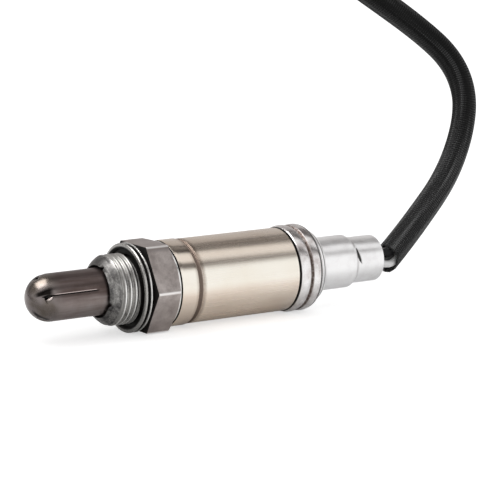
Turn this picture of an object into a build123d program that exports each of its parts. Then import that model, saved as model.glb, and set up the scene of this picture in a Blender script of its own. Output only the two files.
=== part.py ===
"""Heated thimble-type oxygen sensor with an M18 x 1.5 thread and a four-wire lead.

Frame, in millimetres: the sensor's axis is X and its tip points to -X. X = 0 is the plane where the
exhaust boss meets the crush ring. The sensor lies on its crush ring and the beads of its rear cap,
with two flats of its hexagon level, so +Z is up.
"""
import os
from math import cos, pi, radians, sin, sqrt, tan

from build123d import *

# ---------------------------------------------------------------- mounting end
THREAD_DIAMETER = 18.0
THREAD_LENGTH = 5.1
NOSE_LENGTH = 2.6
NOSE_MOUTH_DIAMETER = 13.2
NOSE_LAND = 0.15
NOSE_BULGE = 0.25
FLANGE_DEPTH = 3.6
RELIEF_DIAMETER = 16.2
SEAL_RING_WIDTH = 2.85
SEAL_RING_THICKNESS = 3.0
SEAL_RING_SHEET = 0.5
HEX_ACROSS_FLATS = 22.0
HEX_LENGTH = 7.6
HEX_FACE_DIAMETER = 21.4
HEX_CHAMFER_DEG = 30.0

# ---------------------------------------------------------------- probe
PROBE_REACH = 27.2
OUTER_TUBE_DIAMETER = 12.0
OUTER_TUBE_WALL = 0.4
INNER_TUBE_DIAMETER = 9.6
INNER_TUBE_WALL = 0.3
TIP_GAP = 1.2
SLOT_COUNT = 4
SLOT_WIDTH = 0.5
SLOT_LENGTH = 14.4
SLOT_FLARE_WIDTH = 1.5
SLOT_FLARE_LENGTH = 2.6
SLOT_SETBACK = 2.6
SLOT_ANGLE_DEG = 16.0
VENT_COUNT = 6
VENT_DIAMETER = 1.2
VENT_ROW_PITCH = 5.0
THIMBLE_TIP_DIAMETER = 5.4
THIMBLE_ROOT_DIAMETER = 7.2
THIMBLE_COLLAR_LENGTH = 5.6
THIMBLE_NECK_DIAMETER = 9.2
THIMBLE_SEAT_WIDTH = 1.2
THIMBLE_BORE = 3.6
HEATER_DIAMETER = 3.0

# ---------------------------------------------------------------- stack inside the shell
STACK_BORE = 14.0
PACKING_BORE = 16.0
SEAT_RING_THICKNESS = 0.6
TALC_LENGTH = 5.0
BUSH_LENGTH = 4.2
CRIMP_RING_LENGTH = 1.6
LIP_THICKNESS = 1.0
LIP_BORE = 14.8
BOSS_LENGTH = 3.4
CONTACT_SHEET = 0.4

# ---------------------------------------------------------------- rear housing
SLEEVE_DIAMETER = 21.8
SLEEVE_WALL = 0.5
SLEEVE_GAP = 0.3
SLEEVE_VISIBLE_END = 46.7
COLLAR_RISE = 0.2
COLLAR_LENGTH = 5.45
COLLAR_ROUND = 0.6
WELD_GROOVE_WIDTH = 0.7
WELD_GROOVE_DEPTH = 0.35
NECK_STEP = 0.65
NECK_LENGTH = 5.6
CAP_GAP = 0.2
CAP_WALL = 0.45
CAP_BEAD_RISE = 0.5
CAP_GROOVE_DEPTH = 0.6
CAP_BEAD_LENGTH = 3.15
CAP_SHOULDER_DIAMETER = 18.2
CAP_SHOULDER_LENGTH = 2.25
CAP_STEP = 0.22
TAIL_DIAMETER = 14.1
TAIL_LENGTH = 11.85
TAIL_TIP_DIAMETER = 12.3
TAIL_TIP_LENGTH = 8.8

# ---------------------------------------------------------------- insulator, contacts and wires
INSULATOR_BODY_DIAMETER = 17.2
INSULATOR_COLLAR_LENGTH = 4.0
INSULATOR_TAIL_LENGTH = 3.8
SPRING_THICKNESS = 0.4
SPRING_RISE = 1.4
SIGNAL_PITCH_RADIUS = 4.2
GROUND_PITCH_RADIUS = 5.6
CONTACT_BORE = 1.5
CONTACT_WIDTH = 1.0
WIRE_DIAMETER = 1.9
WIRE_PITCH_RADIUS = 2.2
BARREL_LENGTH = 4.0
BARREL_WALL = 0.3
FILTER_THICKNESS = 1.2
FILTER_BORE = 10.0
WIRE_STUB = 4.0
SIGNAL_ANGLE = 135.0
GROUND_ANGLE = 315.0
HEATER_ANGLES = (45.0, 225.0)

# ---------------------------------------------------------------- lead and its plug
CABLE_DIAMETER = 6.8
BAND_DIAMETER = 8.0
BAND_LENGTH = 8.0
BAND_OVERLAP = 6.0
PLUG_WIRE_LENGTH = 15.0
PLUG_PITCH = 4.6
PLUG_WIDTH = 20.0
PLUG_HEIGHT = 15.2
PLUG_WALL = 1.6
PLUG_SHROUD_LENGTH = 19.0
PLUG_SOCKET_DEPTH = 16.5
PLUG_BARREL_WIDTH = 15.0
PLUG_BARREL_HEIGHT = 13.0
PLUG_BARREL_LENGTH = 15.0
PLUG_CORNER = 2.4
WIRE_SEAL_LENGTH = 5.0
PIN_WIDTH = 1.5
PIN_THICKNESS = 0.8
PIN_REACH = 7.0
LOCK_THICKNESS = 1.6
LATCH_WIDTH = 6.0
LATCH_HEIGHT = 1.8
LATCH_LENGTH = 5.0
KEY_RIB = 1.2

# ---------------------------------------------------------------- fits
SLIDE_FIT = 0.1
LOOSE_FIT = 0.15

# Stations along the axis, from the tip to the tail
NOSE_END = -THREAD_LENGTH - NOSE_LENGTH
HEX_START = SEAL_RING_THICKNESS
HEX_END = HEX_START + HEX_LENGTH
FLANGE_SEAT = -FLANGE_DEPTH
INNER_FLANGE = FLANGE_SEAT + OUTER_TUBE_WALL
SEAT_RING_START = INNER_FLANGE + INNER_TUBE_WALL
COLLAR_START = SEAT_RING_START + SEAT_RING_THICKNESS
TALC_START = COLLAR_START + THIMBLE_COLLAR_LENGTH
BUSH_START = TALC_START + TALC_LENGTH
CRIMP_RING_START = BUSH_START + BUSH_LENGTH
LIP_START = CRIMP_RING_START + CRIMP_RING_LENGTH + CONTACT_SHEET
LIP_END = LIP_START + LIP_THICKNESS
THIMBLE_END = LIP_START + CONTACT_SHEET
INSULATOR_START = THIMBLE_END + CONTACT_SHEET
BOSS_END = HEX_END + BOSS_LENGTH
SLEEVE_START = HEX_END + SLEEVE_GAP
GROOVE_START = SLEEVE_START + COLLAR_LENGTH
GROOVE_END = GROOVE_START + WELD_GROOVE_WIDTH
NECK_DIAMETER = SLEEVE_DIAMETER - 2 * NECK_STEP
NECK_START = SLEEVE_VISIBLE_END
NECK_END = NECK_START + NECK_LENGTH
CAP_START = SLEEVE_VISIBLE_END + CAP_GAP
CAP_BEAD_DIAMETER = SLEEVE_DIAMETER + 2 * CAP_BEAD_RISE
CAP_GROOVE_DIAMETER = CAP_BEAD_DIAMETER - 2 * CAP_GROOVE_DEPTH
SHOULDER_START = CAP_START + 2 * CAP_BEAD_LENGTH + CAP_WALL
TAIL_START = SHOULDER_START + CAP_SHOULDER_LENGTH + CAP_WALL
TAIL_STEP = TAIL_START + TAIL_LENGTH
TAIL_END = TAIL_STEP + TAIL_TIP_LENGTH

BODY_CLEARANCE = SLIDE_FIT / 2
SEAL_RING_BORE = RELIEF_DIAMETER + 6 * LOOSE_FIT
SEAL_RING_DIAMETER = SEAL_RING_BORE + 2 * SEAL_RING_WIDTH
INSULATOR_COLLAR_DIAMETER = SLEEVE_DIAMETER - 2 * SLEEVE_WALL - 2 * SLIDE_FIT
SPRING_END = NECK_START - SLEEVE_WALL
INSULATOR_COLLAR_END = SPRING_END - SPRING_RISE
INSULATOR_END = INSULATOR_COLLAR_END + INSULATOR_TAIL_LENGTH
BARREL_START = INSULATOR_END + 3.0
BARREL_END = BARREL_START + BARREL_LENGTH
GROMMET_START = BARREL_END + 2 * SLIDE_FIT
FILTER_START = GROMMET_START - FILTER_THICKNESS
HEATER_END = BARREL_START - 0.5
WIRE_START = BARREL_START + 0.5
WIRE_END = TAIL_END + WIRE_STUB
FLOOR = -max(SEAL_RING_DIAMETER, CAP_BEAD_DIAMETER) / 2

os.makedirs("parts", exist_ok=True)


def save(piece, name):
    """Labels a finished piece and writes it to its own file."""
    piece.part.label = name
    export_step(piece.part, f"parts/{name}.step")


def turned(*outline):
    """A piece turned on the sensor's axis from a closed outline of (station, radius) corners."""
    with BuildPart() as piece:
        with BuildSketch(Plane.XY):
            with BuildLine():
                Polyline(*outline, close=True)
            make_face()
        revolve(axis=Axis.X)
    return piece


def ring(start, end, bore, diameter):
    """A plain ring on the sensor's axis."""
    return turned((start, bore / 2), (start, diameter / 2), (end, diameter / 2), (end, bore / 2))


def drawn_tube(tip, flange, diameter, wall, flange_diameter):
    """A deep-drawn tube with a domed closed tip at -X and a flat flange at its open end."""
    outside = diameter / 2
    inside = outside - wall
    dome = tip + outside
    with BuildPart() as piece:
        with BuildSketch(Plane.XY):
            with BuildLine():
                RadiusArc((tip, 0), (dome, outside), outside)
                Polyline(
                    (dome, outside),
                    (flange, outside),
                    (flange, flange_diameter / 2),
                    (flange + wall, flange_diameter / 2),
                    (flange + wall, inside),
                    (dome, inside),
                )
                RadiusArc((dome, inside), (tip + wall, 0), -inside)
                Line((tip + wall, 0), (tip, 0))
            make_face()
        revolve(axis=Axis.X)
    return piece


def around(angle_deg, radius):
    """Where something that runs along the axis crosses a plane at right angles to it, as (Y, Z)."""
    angle = radians(angle_deg)
    return radius * cos(angle), radius * sin(angle)


def radial_plane(station, angle_deg):
    """A plane through the axis whose normal points outwards, at an angle above -Y, with X along X."""
    angle = radians(angle_deg)
    return Plane(origin=(station, 0, 0), x_dir=(1, 0, 0), z_dir=(0, -cos(angle), sin(angle)))


# ---------------------------------------------------------------- protection tubes
flange_diameter = STACK_BORE - 2 * SLIDE_FIT
slot_start = -PROBE_REACH + SLOT_SETBACK
outer_blank = drawn_tube(
    -PROBE_REACH, FLANGE_SEAT, OUTER_TUBE_DIAMETER, OUTER_TUBE_WALL, flange_diameter
)
with BuildPart() as outer_protection_tube:
    add(outer_blank.part)
    for index in range(SLOT_COUNT):
        with BuildSketch(radial_plane(slot_start, SLOT_ANGLE_DEG + 360 / SLOT_COUNT * index)):
            with BuildLine():
                Polyline(
                    (0, -SLOT_FLARE_WIDTH / 2),
                    (SLOT_FLARE_LENGTH, -SLOT_WIDTH / 2),
                    (SLOT_LENGTH, -SLOT_WIDTH / 2),
                    (SLOT_LENGTH, SLOT_WIDTH / 2),
                    (SLOT_FLARE_LENGTH, SLOT_WIDTH / 2),
                    (0, SLOT_FLARE_WIDTH / 2),
                    close=True,
                )
            make_face()
        extrude(amount=OUTER_TUBE_DIAMETER, mode=Mode.SUBTRACT)
save(outer_protection_tube, "outer_protection_tube")

inner_tip = -PROBE_REACH + OUTER_TUBE_WALL + TIP_GAP
vent_row = inner_tip + INNER_TUBE_DIAMETER
inner_blank = drawn_tube(
    inner_tip, INNER_FLANGE, INNER_TUBE_DIAMETER, INNER_TUBE_WALL, flange_diameter
)
with BuildPart() as inner_protection_tube:
    add(inner_blank.part)
    for index in range(VENT_COUNT):
        for row in range(2):
            station = vent_row + row * VENT_ROW_PITCH
            turn = 360 / VENT_COUNT * (index + row / 2)
            with BuildSketch(radial_plane(station, turn)):
                Circle(VENT_DIAMETER / 2)
            extrude(amount=INNER_TUBE_DIAMETER, mode=Mode.SUBTRACT)
save(inner_protection_tube, "inner_protection_tube")

# ---------------------------------------------------------------- sensing element and heater
thimble_tip = inner_tip + INNER_TUBE_WALL + TIP_GAP
tip_radius = THIMBLE_TIP_DIAMETER / 2
bore_radius = THIMBLE_BORE / 2
collar_radius = STACK_BORE / 2 - LOOSE_FIT
with BuildPart() as zirconia_thimble:
    with BuildSketch(Plane.XY):
        with BuildLine():
            RadiusArc((thimble_tip, 0), (thimble_tip + tip_radius, tip_radius), tip_radius)
            Polyline(
                (thimble_tip + tip_radius, tip_radius),
                (INNER_FLANGE, THIMBLE_ROOT_DIAMETER / 2),
                (COLLAR_START, collar_radius - THIMBLE_SEAT_WIDTH),
                (COLLAR_START, collar_radius),
                (TALC_START - THIMBLE_SEAT_WIDTH, collar_radius),
                (TALC_START, THIMBLE_NECK_DIAMETER / 2),
                (THIMBLE_END, THIMBLE_NECK_DIAMETER / 2),
                (THIMBLE_END, bore_radius + 0.8),
                (TALC_START, bore_radius),
                (thimble_tip + tip_radius, bore_radius),
            )
            RadiusArc(
                (thimble_tip + tip_radius, bore_radius),
                (thimble_tip + tip_radius - bore_radius, 0),
                -bore_radius,
            )
            Line((thimble_tip + tip_radius - bore_radius, 0), (thimble_tip, 0))
        make_face()
    revolve(axis=Axis.X)
save(zirconia_thimble, "zirconia_thimble")

heater_tip = thimble_tip + tip_radius - HEATER_DIAMETER / 3
with BuildPart() as heater_rod:
    with BuildSketch(Plane.YZ.offset(heater_tip)):
        Circle(HEATER_DIAMETER / 2)
    extrude(amount=HEATER_END - heater_tip)
    chamfer(heater_rod.edges().filter_by(GeomType.CIRCLE), length=0.3)
save(heater_rod, "heater_rod")

# ---------------------------------------------------------------- threaded shell
thread_radius = THREAD_DIAMETER / 2
tube_bore = OUTER_TUBE_DIAMETER / 2 + LOOSE_FIT
recess_floor = FLANGE_SEAT - 2.4
boss_radius = SLEEVE_DIAMETER / 2 - SLEEVE_WALL - BODY_CLEARANCE
lip_radius = PACKING_BORE / 2 + LIP_THICKNESS
hex_corner = HEX_ACROSS_FLATS / sqrt(3)
hex_face_radius = HEX_FACE_DIAMETER / 2
chamfer_reach = (hex_corner + 1 - hex_face_radius) * tan(radians(HEX_CHAMFER_DEG))
with BuildPart() as threaded_shell:
    with BuildSketch(Plane.XY):
        with BuildLine():
            mouth = (NOSE_END, NOSE_MOUTH_DIAMETER / 2 + NOSE_LAND)
            crest = (-THREAD_LENGTH, thread_radius)
            SagittaArc(mouth, crest, NOSE_BULGE)
            Polyline(
                crest,
                (0, thread_radius),
                (0.4, RELIEF_DIAMETER / 2),
                (HEX_START, RELIEF_DIAMETER / 2),
                (HEX_START, boss_radius),
                (BOSS_END, boss_radius),
                (BOSS_END, lip_radius),
                (LIP_END - 0.6, lip_radius),
                (LIP_END, lip_radius - 0.6),
                (LIP_END, LIP_BORE / 2),
                (LIP_START, LIP_BORE / 2),
                (LIP_START, PACKING_BORE / 2),
                (TALC_START, PACKING_BORE / 2),
                (TALC_START, STACK_BORE / 2),
                (FLANGE_SEAT, STACK_BORE / 2),
                (FLANGE_SEAT, tube_bore),
                (recess_floor, tube_bore),
                (recess_floor, NOSE_MOUTH_DIAMETER / 2),
                (NOSE_END, NOSE_MOUTH_DIAMETER / 2),
                mouth,
            )
        make_face()
    revolve(axis=Axis.X)
    with BuildSketch(Plane.YZ.offset(HEX_START)):
        RegularPolygon(radius=HEX_ACROSS_FLATS / 2, side_count=6, major_radius=False)
        Circle(RELIEF_DIAMETER / 2 + BODY_CLEARANCE, mode=Mode.SUBTRACT)
    extrude(amount=HEX_LENGTH)
    with BuildSketch(Plane.XY):
        with BuildLine():
            Polyline(
                (HEX_END, hex_face_radius),
                (HEX_END + 1, hex_face_radius),
                (HEX_END + 1, hex_corner + 1),
                (HEX_END - chamfer_reach, hex_corner + 1),
                close=True,
            )
        make_face()
    revolve(axis=Axis.X, mode=Mode.SUBTRACT)
save(threaded_shell, "threaded_shell")

# Folded crush ring, captive on the relief neck: two rounded lips and the web between them
ring_outside = SEAL_RING_DIAMETER / 2
ring_inside = SEAL_RING_BORE / 2
middle = SEAL_RING_THICKNESS / 2
lip_half = (middle - SEAL_RING_SHEET / 4) / 2
lip_root = ring_outside - lip_half
with BuildPart() as sealing_ring:
    with BuildSketch(Plane.XY):
        with BuildLine():
            Line((SEAL_RING_SHEET, ring_inside), (0, lip_root))
            ThreePointArc((0, lip_root), (lip_half, ring_outside), (2 * lip_half, lip_root))
            Line((2 * lip_half, lip_root), (SEAL_RING_THICKNESS - 2 * lip_half, lip_root))
            ThreePointArc(
                (SEAL_RING_THICKNESS - 2 * lip_half, lip_root),
                (SEAL_RING_THICKNESS - lip_half, ring_outside),
                (SEAL_RING_THICKNESS, lip_root),
            )
            Polyline(
                (SEAL_RING_THICKNESS, lip_root),
                (SEAL_RING_THICKNESS, ring_inside + SEAL_RING_SHEET),
                (SEAL_RING_THICKNESS - SEAL_RING_SHEET, ring_inside),
                (SEAL_RING_SHEET, ring_inside),
            )
        make_face()
    revolve(axis=Axis.X)
save(sealing_ring, "sealing_ring")

# ---------------------------------------------------------------- packing that seals the thimble
neck_bore = THIMBLE_NECK_DIAMETER + 2 * LOOSE_FIT
packing_diameter = PACKING_BORE - 2 * SLIDE_FIT
thimble_seat_ring = ring(
    SEAT_RING_START,
    COLLAR_START,
    STACK_BORE - 2 * THIMBLE_SEAT_WIDTH,
    flange_diameter,
)
save(thimble_seat_ring, "thimble_seat_ring")

talc_packing = ring(TALC_START, BUSH_START, neck_bore, packing_diameter)
save(talc_packing, "talc_packing")

packing_bush = ring(BUSH_START, CRIMP_RING_START, neck_bore, packing_diameter)
save(packing_bush, "packing_bush")

crimp_ring_end = CRIMP_RING_START + CRIMP_RING_LENGTH
crimp_ring = ring(CRIMP_RING_START, crimp_ring_end, neck_bore, packing_diameter)
save(crimp_ring, "crimp_ring")

# ---------------------------------------------------------------- ceramic insulator and its spring
body_radius = INSULATOR_BODY_DIAMETER / 2
insulator_nose_end = LIP_END + 2 * LIP_THICKNESS
insulator_collar_radius = INSULATOR_COLLAR_DIAMETER / 2
with BuildPart() as ceramic_insulator:
    with BuildSketch(Plane.XY):
        with BuildLine():
            Polyline(
                (INSULATOR_START, HEATER_DIAMETER / 2 + LOOSE_FIT),
                (INSULATOR_START, LIP_BORE / 2 - LOOSE_FIT),
                (LIP_END + LOOSE_FIT, LIP_BORE / 2 - LOOSE_FIT),
                (insulator_nose_end, body_radius),
                (INSULATOR_COLLAR_END - INSULATOR_COLLAR_LENGTH, body_radius),
                (INSULATOR_COLLAR_END - INSULATOR_COLLAR_LENGTH, insulator_collar_radius),
                (INSULATOR_COLLAR_END, insulator_collar_radius),
                (INSULATOR_COLLAR_END, body_radius),
                (INSULATOR_END, body_radius),
                (INSULATOR_END, HEATER_DIAMETER / 2 + LOOSE_FIT),
                close=True,
            )
        make_face()
    revolve(axis=Axis.X)
    with BuildSketch(Plane.YZ.offset(INSULATOR_START)):
        for angle, radius in ((SIGNAL_ANGLE, SIGNAL_PITCH_RADIUS), (GROUND_ANGLE, GROUND_PITCH_RADIUS)):
            with Locations(around(angle, radius)):
                Circle(CONTACT_BORE / 2)
    extrude(amount=INSULATOR_END - INSULATOR_START, mode=Mode.SUBTRACT)
save(ceramic_insulator, "ceramic_insulator")

spring_inside = body_radius + LOOSE_FIT
disc_spring = turned(
    (INSULATOR_COLLAR_END, spring_inside),
    (INSULATOR_COLLAR_END + SPRING_THICKNESS, spring_inside),
    (SPRING_END, insulator_collar_radius),
    (SPRING_END - SPRING_THICKNESS, insulator_collar_radius),
)
save(disc_spring, "disc_spring")

# ---------------------------------------------------------------- protective sleeve
sleeve_radius = SLEEVE_DIAMETER / 2
groove_radius = sleeve_radius - WELD_GROOVE_DEPTH
rolled_collar_radius = sleeve_radius + COLLAR_RISE
neck_radius = NECK_DIAMETER / 2
with BuildPart() as protective_sleeve:
    with BuildSketch(Plane.XY):
        with BuildLine():
            front_edge = (SLEEVE_START, rolled_collar_radius - COLLAR_ROUND)
            RadiusArc(
                front_edge, (SLEEVE_START + COLLAR_ROUND, rolled_collar_radius), COLLAR_ROUND
            )
            Line(
                (SLEEVE_START + COLLAR_ROUND, rolled_collar_radius),
                (GROOVE_START, rolled_collar_radius),
            )
            ThreePointArc(
                (GROOVE_START, rolled_collar_radius),
                (GROOVE_START + WELD_GROOVE_WIDTH / 2, groove_radius),
                (GROOVE_END, sleeve_radius),
            )
            Polyline(
                (GROOVE_END, sleeve_radius),
                (NECK_START - 0.3, sleeve_radius),
                (NECK_START, sleeve_radius - 0.3),
                (NECK_START, neck_radius),
                (NECK_END, neck_radius),
                (NECK_END, neck_radius - SLEEVE_WALL),
                (SPRING_END, neck_radius - SLEEVE_WALL),
                (SPRING_END, sleeve_radius - SLEEVE_WALL),
                (SLEEVE_START, sleeve_radius - SLEEVE_WALL),
                front_edge,
            )
        make_face()
    revolve(axis=Axis.X)
save(protective_sleeve, "protective_sleeve")

# ---------------------------------------------------------------- silver rear cap
bead_radius = CAP_BEAD_DIAMETER / 2
cap_groove_radius = CAP_GROOVE_DIAMETER / 2
cap_edge_radius = cap_groove_radius + CAP_STEP / 2
bead_one_end = CAP_START + CAP_BEAD_LENGTH
bead_two_start = bead_one_end + CAP_WALL
shoulder_top = cap_groove_radius - CAP_STEP
shoulder_radius = CAP_SHOULDER_DIAMETER / 2
shoulder_end = SHOULDER_START + CAP_SHOULDER_LENGTH
tail_radius = TAIL_DIAMETER / 2
tail_tip_radius = TAIL_TIP_DIAMETER / 2
step_radius = tail_radius - tail_tip_radius
cap_bore = neck_radius + SLIDE_FIT
end_curl = 1.1
with BuildPart() as rear_cap:
    with BuildSketch(Plane.XY):
        with BuildLine():
            ThreePointArc(
                (CAP_START, cap_edge_radius),
                (CAP_START + CAP_BEAD_LENGTH / 2, bead_radius),
                (bead_one_end, cap_edge_radius),
            )
            ThreePointArc(
                (bead_one_end, cap_edge_radius),
                ((bead_one_end + bead_two_start) / 2, cap_groove_radius),
                (bead_two_start, cap_edge_radius),
            )
            ThreePointArc(
                (bead_two_start, cap_edge_radius),
                (bead_two_start + CAP_BEAD_LENGTH / 2, bead_radius),
                (SHOULDER_START, cap_edge_radius),
            )
            Polyline(
                (SHOULDER_START, cap_edge_radius),
                (SHOULDER_START, shoulder_top),
                (shoulder_end, shoulder_radius + CAP_STEP),
                (shoulder_end, shoulder_radius),
            )
            RadiusArc((shoulder_end, shoulder_radius), (TAIL_START, tail_radius + 0.9), 2.4)
            Polyline(
                (TAIL_START, tail_radius + 0.9),
                (TAIL_START + 0.25, tail_radius),
                (TAIL_STEP - step_radius, tail_radius),
            )
            RadiusArc(
                (TAIL_STEP - step_radius, tail_radius), (TAIL_STEP, tail_tip_radius), step_radius
            )
            Line((TAIL_STEP, tail_tip_radius), (TAIL_END - end_curl, tail_tip_radius))
            RadiusArc(
                (TAIL_END - end_curl, tail_tip_radius),
                (TAIL_END, tail_tip_radius - CAP_WALL - 0.15),
                end_curl + 0.1,
            )
            Polyline(
                (TAIL_END, tail_tip_radius - CAP_WALL - 0.15),
                (TAIL_END - CAP_WALL, tail_tip_radius - CAP_WALL - 0.15),
                (TAIL_END - end_curl, tail_tip_radius - CAP_WALL),
                (TAIL_STEP - CAP_WALL, tail_tip_radius - CAP_WALL),
                (TAIL_STEP - step_radius - CAP_WALL, tail_radius - CAP_WALL),
                (TAIL_START - CAP_WALL, tail_radius - CAP_WALL),
                (TAIL_START - CAP_WALL, shoulder_radius - CAP_WALL),
                (NECK_END + SLIDE_FIT, cap_bore),
                (CAP_START, cap_bore),
                (CAP_START, cap_edge_radius),
            )
        make_face()
    revolve(axis=Axis.X)
save(rear_cap, "rear_cap")

# ---------------------------------------------------------------- vent filter and grommet
vent_filter = ring(
    FILTER_START,
    GROMMET_START,
    FILTER_BORE,
    2 * (shoulder_radius - CAP_WALL - SLIDE_FIT),
)
save(vent_filter, "vent_filter")

grommet_front = tail_radius - CAP_WALL - SLIDE_FIT
grommet_rear = tail_tip_radius - CAP_WALL - 0.15 - SLIDE_FIT
with BuildPart() as cable_grommet:
    with BuildSketch(Plane.XY):
        with BuildLine():
            Polyline(
                (GROMMET_START, 0),
                (GROMMET_START, grommet_front),
                (TAIL_STEP - step_radius - CAP_WALL - SLIDE_FIT, grommet_front),
                (TAIL_STEP - CAP_WALL, grommet_rear),
                (TAIL_END - CAP_WALL, grommet_rear),
                (TAIL_END - CAP_WALL, 0),
                close=True,
            )
        make_face()
    revolve(axis=Axis.X)
    with BuildSketch(Plane.YZ.offset(GROMMET_START)):
        with PolarLocations(WIRE_PITCH_RADIUS, 4, start_angle=45):
            Circle(WIRE_DIAMETER / 2 + SLIDE_FIT / 2)
    extrude(amount=TAIL_END - GROMMET_START, mode=Mode.SUBTRACT)
save(cable_grommet, "cable_grommet")


# ---------------------------------------------------------------- contacts
def strip_plane(angle_deg):
    """A plane along the axis: its X runs along the axis, its Y outwards at this angle."""
    angle = radians(angle_deg)
    return Plane(origin=(0, 0, 0), x_dir=(1, 0, 0), z_dir=(0, -sin(angle), cos(angle)))


def contact(angle_deg, start, radius, plate_bore=0.0, plate_diameter=0.0):
    """A stamped contact: its strip, its crimp barrel and, where it has one, its ring plate."""
    half = CONTACT_SHEET / 2
    barrel = WIRE_DIAMETER / 2 + SLIDE_FIT / 2
    joggle = WIRE_PITCH_RADIUS + barrel + half
    joggle_start = max(INSULATOR_END + 0.4, start + 0.6)
    with BuildPart() as piece:
        with BuildSketch(strip_plane(angle_deg)):
            with BuildLine():
                Polyline(
                    (start, radius - half),
                    (joggle_start, radius - half),
                    (BARREL_START, joggle - half),
                    (BARREL_START + 1, joggle - half),
                    (BARREL_START + 1, joggle + half),
                    (BARREL_START, joggle + half),
                    (joggle_start, radius + half),
                    (start, radius + half),
                    close=True,
                )
            make_face()
        extrude(amount=CONTACT_WIDTH / 2, both=True)
        with BuildSketch(Plane.YZ.offset(BARREL_START)):
            with Locations(around(angle_deg, WIRE_PITCH_RADIUS)):
                Circle(barrel + BARREL_WALL)
                Circle(barrel, mode=Mode.SUBTRACT)
        extrude(amount=BARREL_LENGTH)
        if plate_diameter:
            with BuildSketch(Plane.YZ.offset(start)):
                Circle(plate_diameter / 2)
                Circle(plate_bore / 2, mode=Mode.SUBTRACT)
            extrude(amount=CONTACT_SHEET)
    return piece


signal_contact = contact(
    SIGNAL_ANGLE,
    THIMBLE_END,
    SIGNAL_PITCH_RADIUS,
    HEATER_DIAMETER + 2 * LOOSE_FIT,
    THIMBLE_NECK_DIAMETER,
)
save(signal_contact, "signal_contact")

ground_contact = contact(
    GROUND_ANGLE, crimp_ring_end, GROUND_PITCH_RADIUS, neck_bore, packing_diameter
)
save(ground_contact, "ground_contact")

heater_clip = HEATER_DIAMETER / 2 + CONTACT_SHEET / 2 + SLIDE_FIT / 2
with BuildPart() as heater_contacts:
    for heater_angle in HEATER_ANGLES:
        add(contact(heater_angle, INSULATOR_END + LOOSE_FIT, heater_clip).part)
save(heater_contacts, "heater_contacts")


# ---------------------------------------------------------------- wires in the sensor
def wires(*angles):
    """Straight insulated wires, from their crimp barrels to just behind the tail."""
    with BuildPart() as piece:
        with BuildSketch(Plane.YZ.offset(WIRE_START)):
            for angle in angles:
                with Locations(around(angle, WIRE_PITCH_RADIUS)):
                    Circle(WIRE_DIAMETER / 2)
        extrude(amount=WIRE_END - WIRE_START)
    return piece


signal_wire = wires(SIGNAL_ANGLE)
save(signal_wire, "signal_wire")

ground_wire = wires(GROUND_ANGLE)
save(ground_wire, "ground_wire")

heater_wires = wires(*HEATER_ANGLES)
save(heater_wires, "heater_wires")

# ---------------------------------------------------------------- the lead
# It rises from the tail, arches over the sensor and comes down beyond the tip, where the plug lies.
CABLE_ROUTE = [
    (WIRE_END, 0.0, 0.0),
    (84.5, 0.0, 0.0),
    (88.5, 1.0, 1.5),
    (95.5, 4.5, 6.5),
    (110.0, 10.5, 17.0),
    (120.0, 16.0, 28.5),
    (124.5, 20.5, 39.0),
    (123.0, 25.0, 48.5),
    (115.5, 29.0, 57.5),
    (98.5, 32.0, 69.0),
    (80.0, 34.5, 80.5),
    (57.0, 36.5, 89.5),
    (33.0, 37.5, 94.5),
    (9.0, 38.0, 94.5),
    (-13.0, 38.5, 88.0),
    (-29.0, 39.0, 74.0),
    (-37.5, 39.5, 55.0),
    (-42.5, 40.0, 34.5),
    (-52.0, 40.5, 14.5),
    (-68.5, 41.5, -1.5),
    (-89.0, 42.0, -5.5),
    (-107.0, 42.0, -5.5),
]


def route_radii(route):
    """The largest arc that the runs beside each corner of a route allow."""
    points = [Vector(*point) for point in route]
    radii = []
    for before, corner, after in zip(points, points[1:], points[2:]):
        turn = radians((corner - before).get_angle(after - corner))
        shorter = min((corner - before).length, (after - corner).length)
        radii.append(0.45 * shorter / tan(turn / 2))
    return radii


def tube_along(route, radii, diameter):
    """A round solid swept along straight runs joined by tangent arcs."""
    with BuildPart() as piece:
        with BuildLine() as path:
            FilletPolyline(*route, radius=radii)
        with BuildSketch(Plane(origin=path.line @ 0, z_dir=path.line % 0)):
            Circle(diameter / 2)
        sweep()
    length = sum(edge.length for edge in path.edges())
    share = piece.part.volume / (pi * (diameter / 2) ** 2 * length)
    print(f"length {length:.1f} mm, volume over section times length {share:.4f}")
    return piece


cable_radii = route_radii(CABLE_ROUTE)
print("cable arcs, mm:", [round(radius, 1) for radius in cable_radii])
cable_sleeve = tube_along(CABLE_ROUTE, cable_radii, CABLE_DIAMETER)
save(cable_sleeve, "cable_sleeve")

# Heat-shrink band over the sleeve's far end
cable_end_x, cable_end_y, cable_end_z = CABLE_ROUTE[-1]
band_start = cable_end_x + BAND_OVERLAP
with BuildPart() as sleeve_end_band:
    with BuildSketch(Plane.YZ.offset(band_start)):
        with Locations((cable_end_y, cable_end_z)):
            Circle(BAND_DIAMETER / 2)
            Circle(CABLE_DIAMETER / 2 + SLIDE_FIT, mode=Mode.SUBTRACT)
    extrude(amount=-BAND_LENGTH)
save(sleeve_end_band, "sleeve_end_band")

# ---------------------------------------------------------------- plug: housing, seal, pins and lock
plug_y = cable_end_y
plug_z = FLOOR + PLUG_HEIGHT / 2
plug_rear = cable_end_x - PLUG_WIRE_LENGTH
shroud_start = plug_rear - PLUG_BARREL_LENGTH
plug_front = shroud_start - PLUG_SHROUD_LENGTH
socket_floor = plug_front + PLUG_SOCKET_DEPTH
cavity_width = PLUG_WIDTH - 2 * PLUG_WALL
cavity_height = PLUG_HEIGHT - 2 * PLUG_WALL
seal_width = PLUG_BARREL_WIDTH - 2 * PLUG_WALL
seal_height = PLUG_BARREL_HEIGHT - 2 * PLUG_WALL
cavity_corner = PLUG_CORNER - PLUG_WALL / 2
plug_centre = (plug_y, plug_z)


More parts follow.
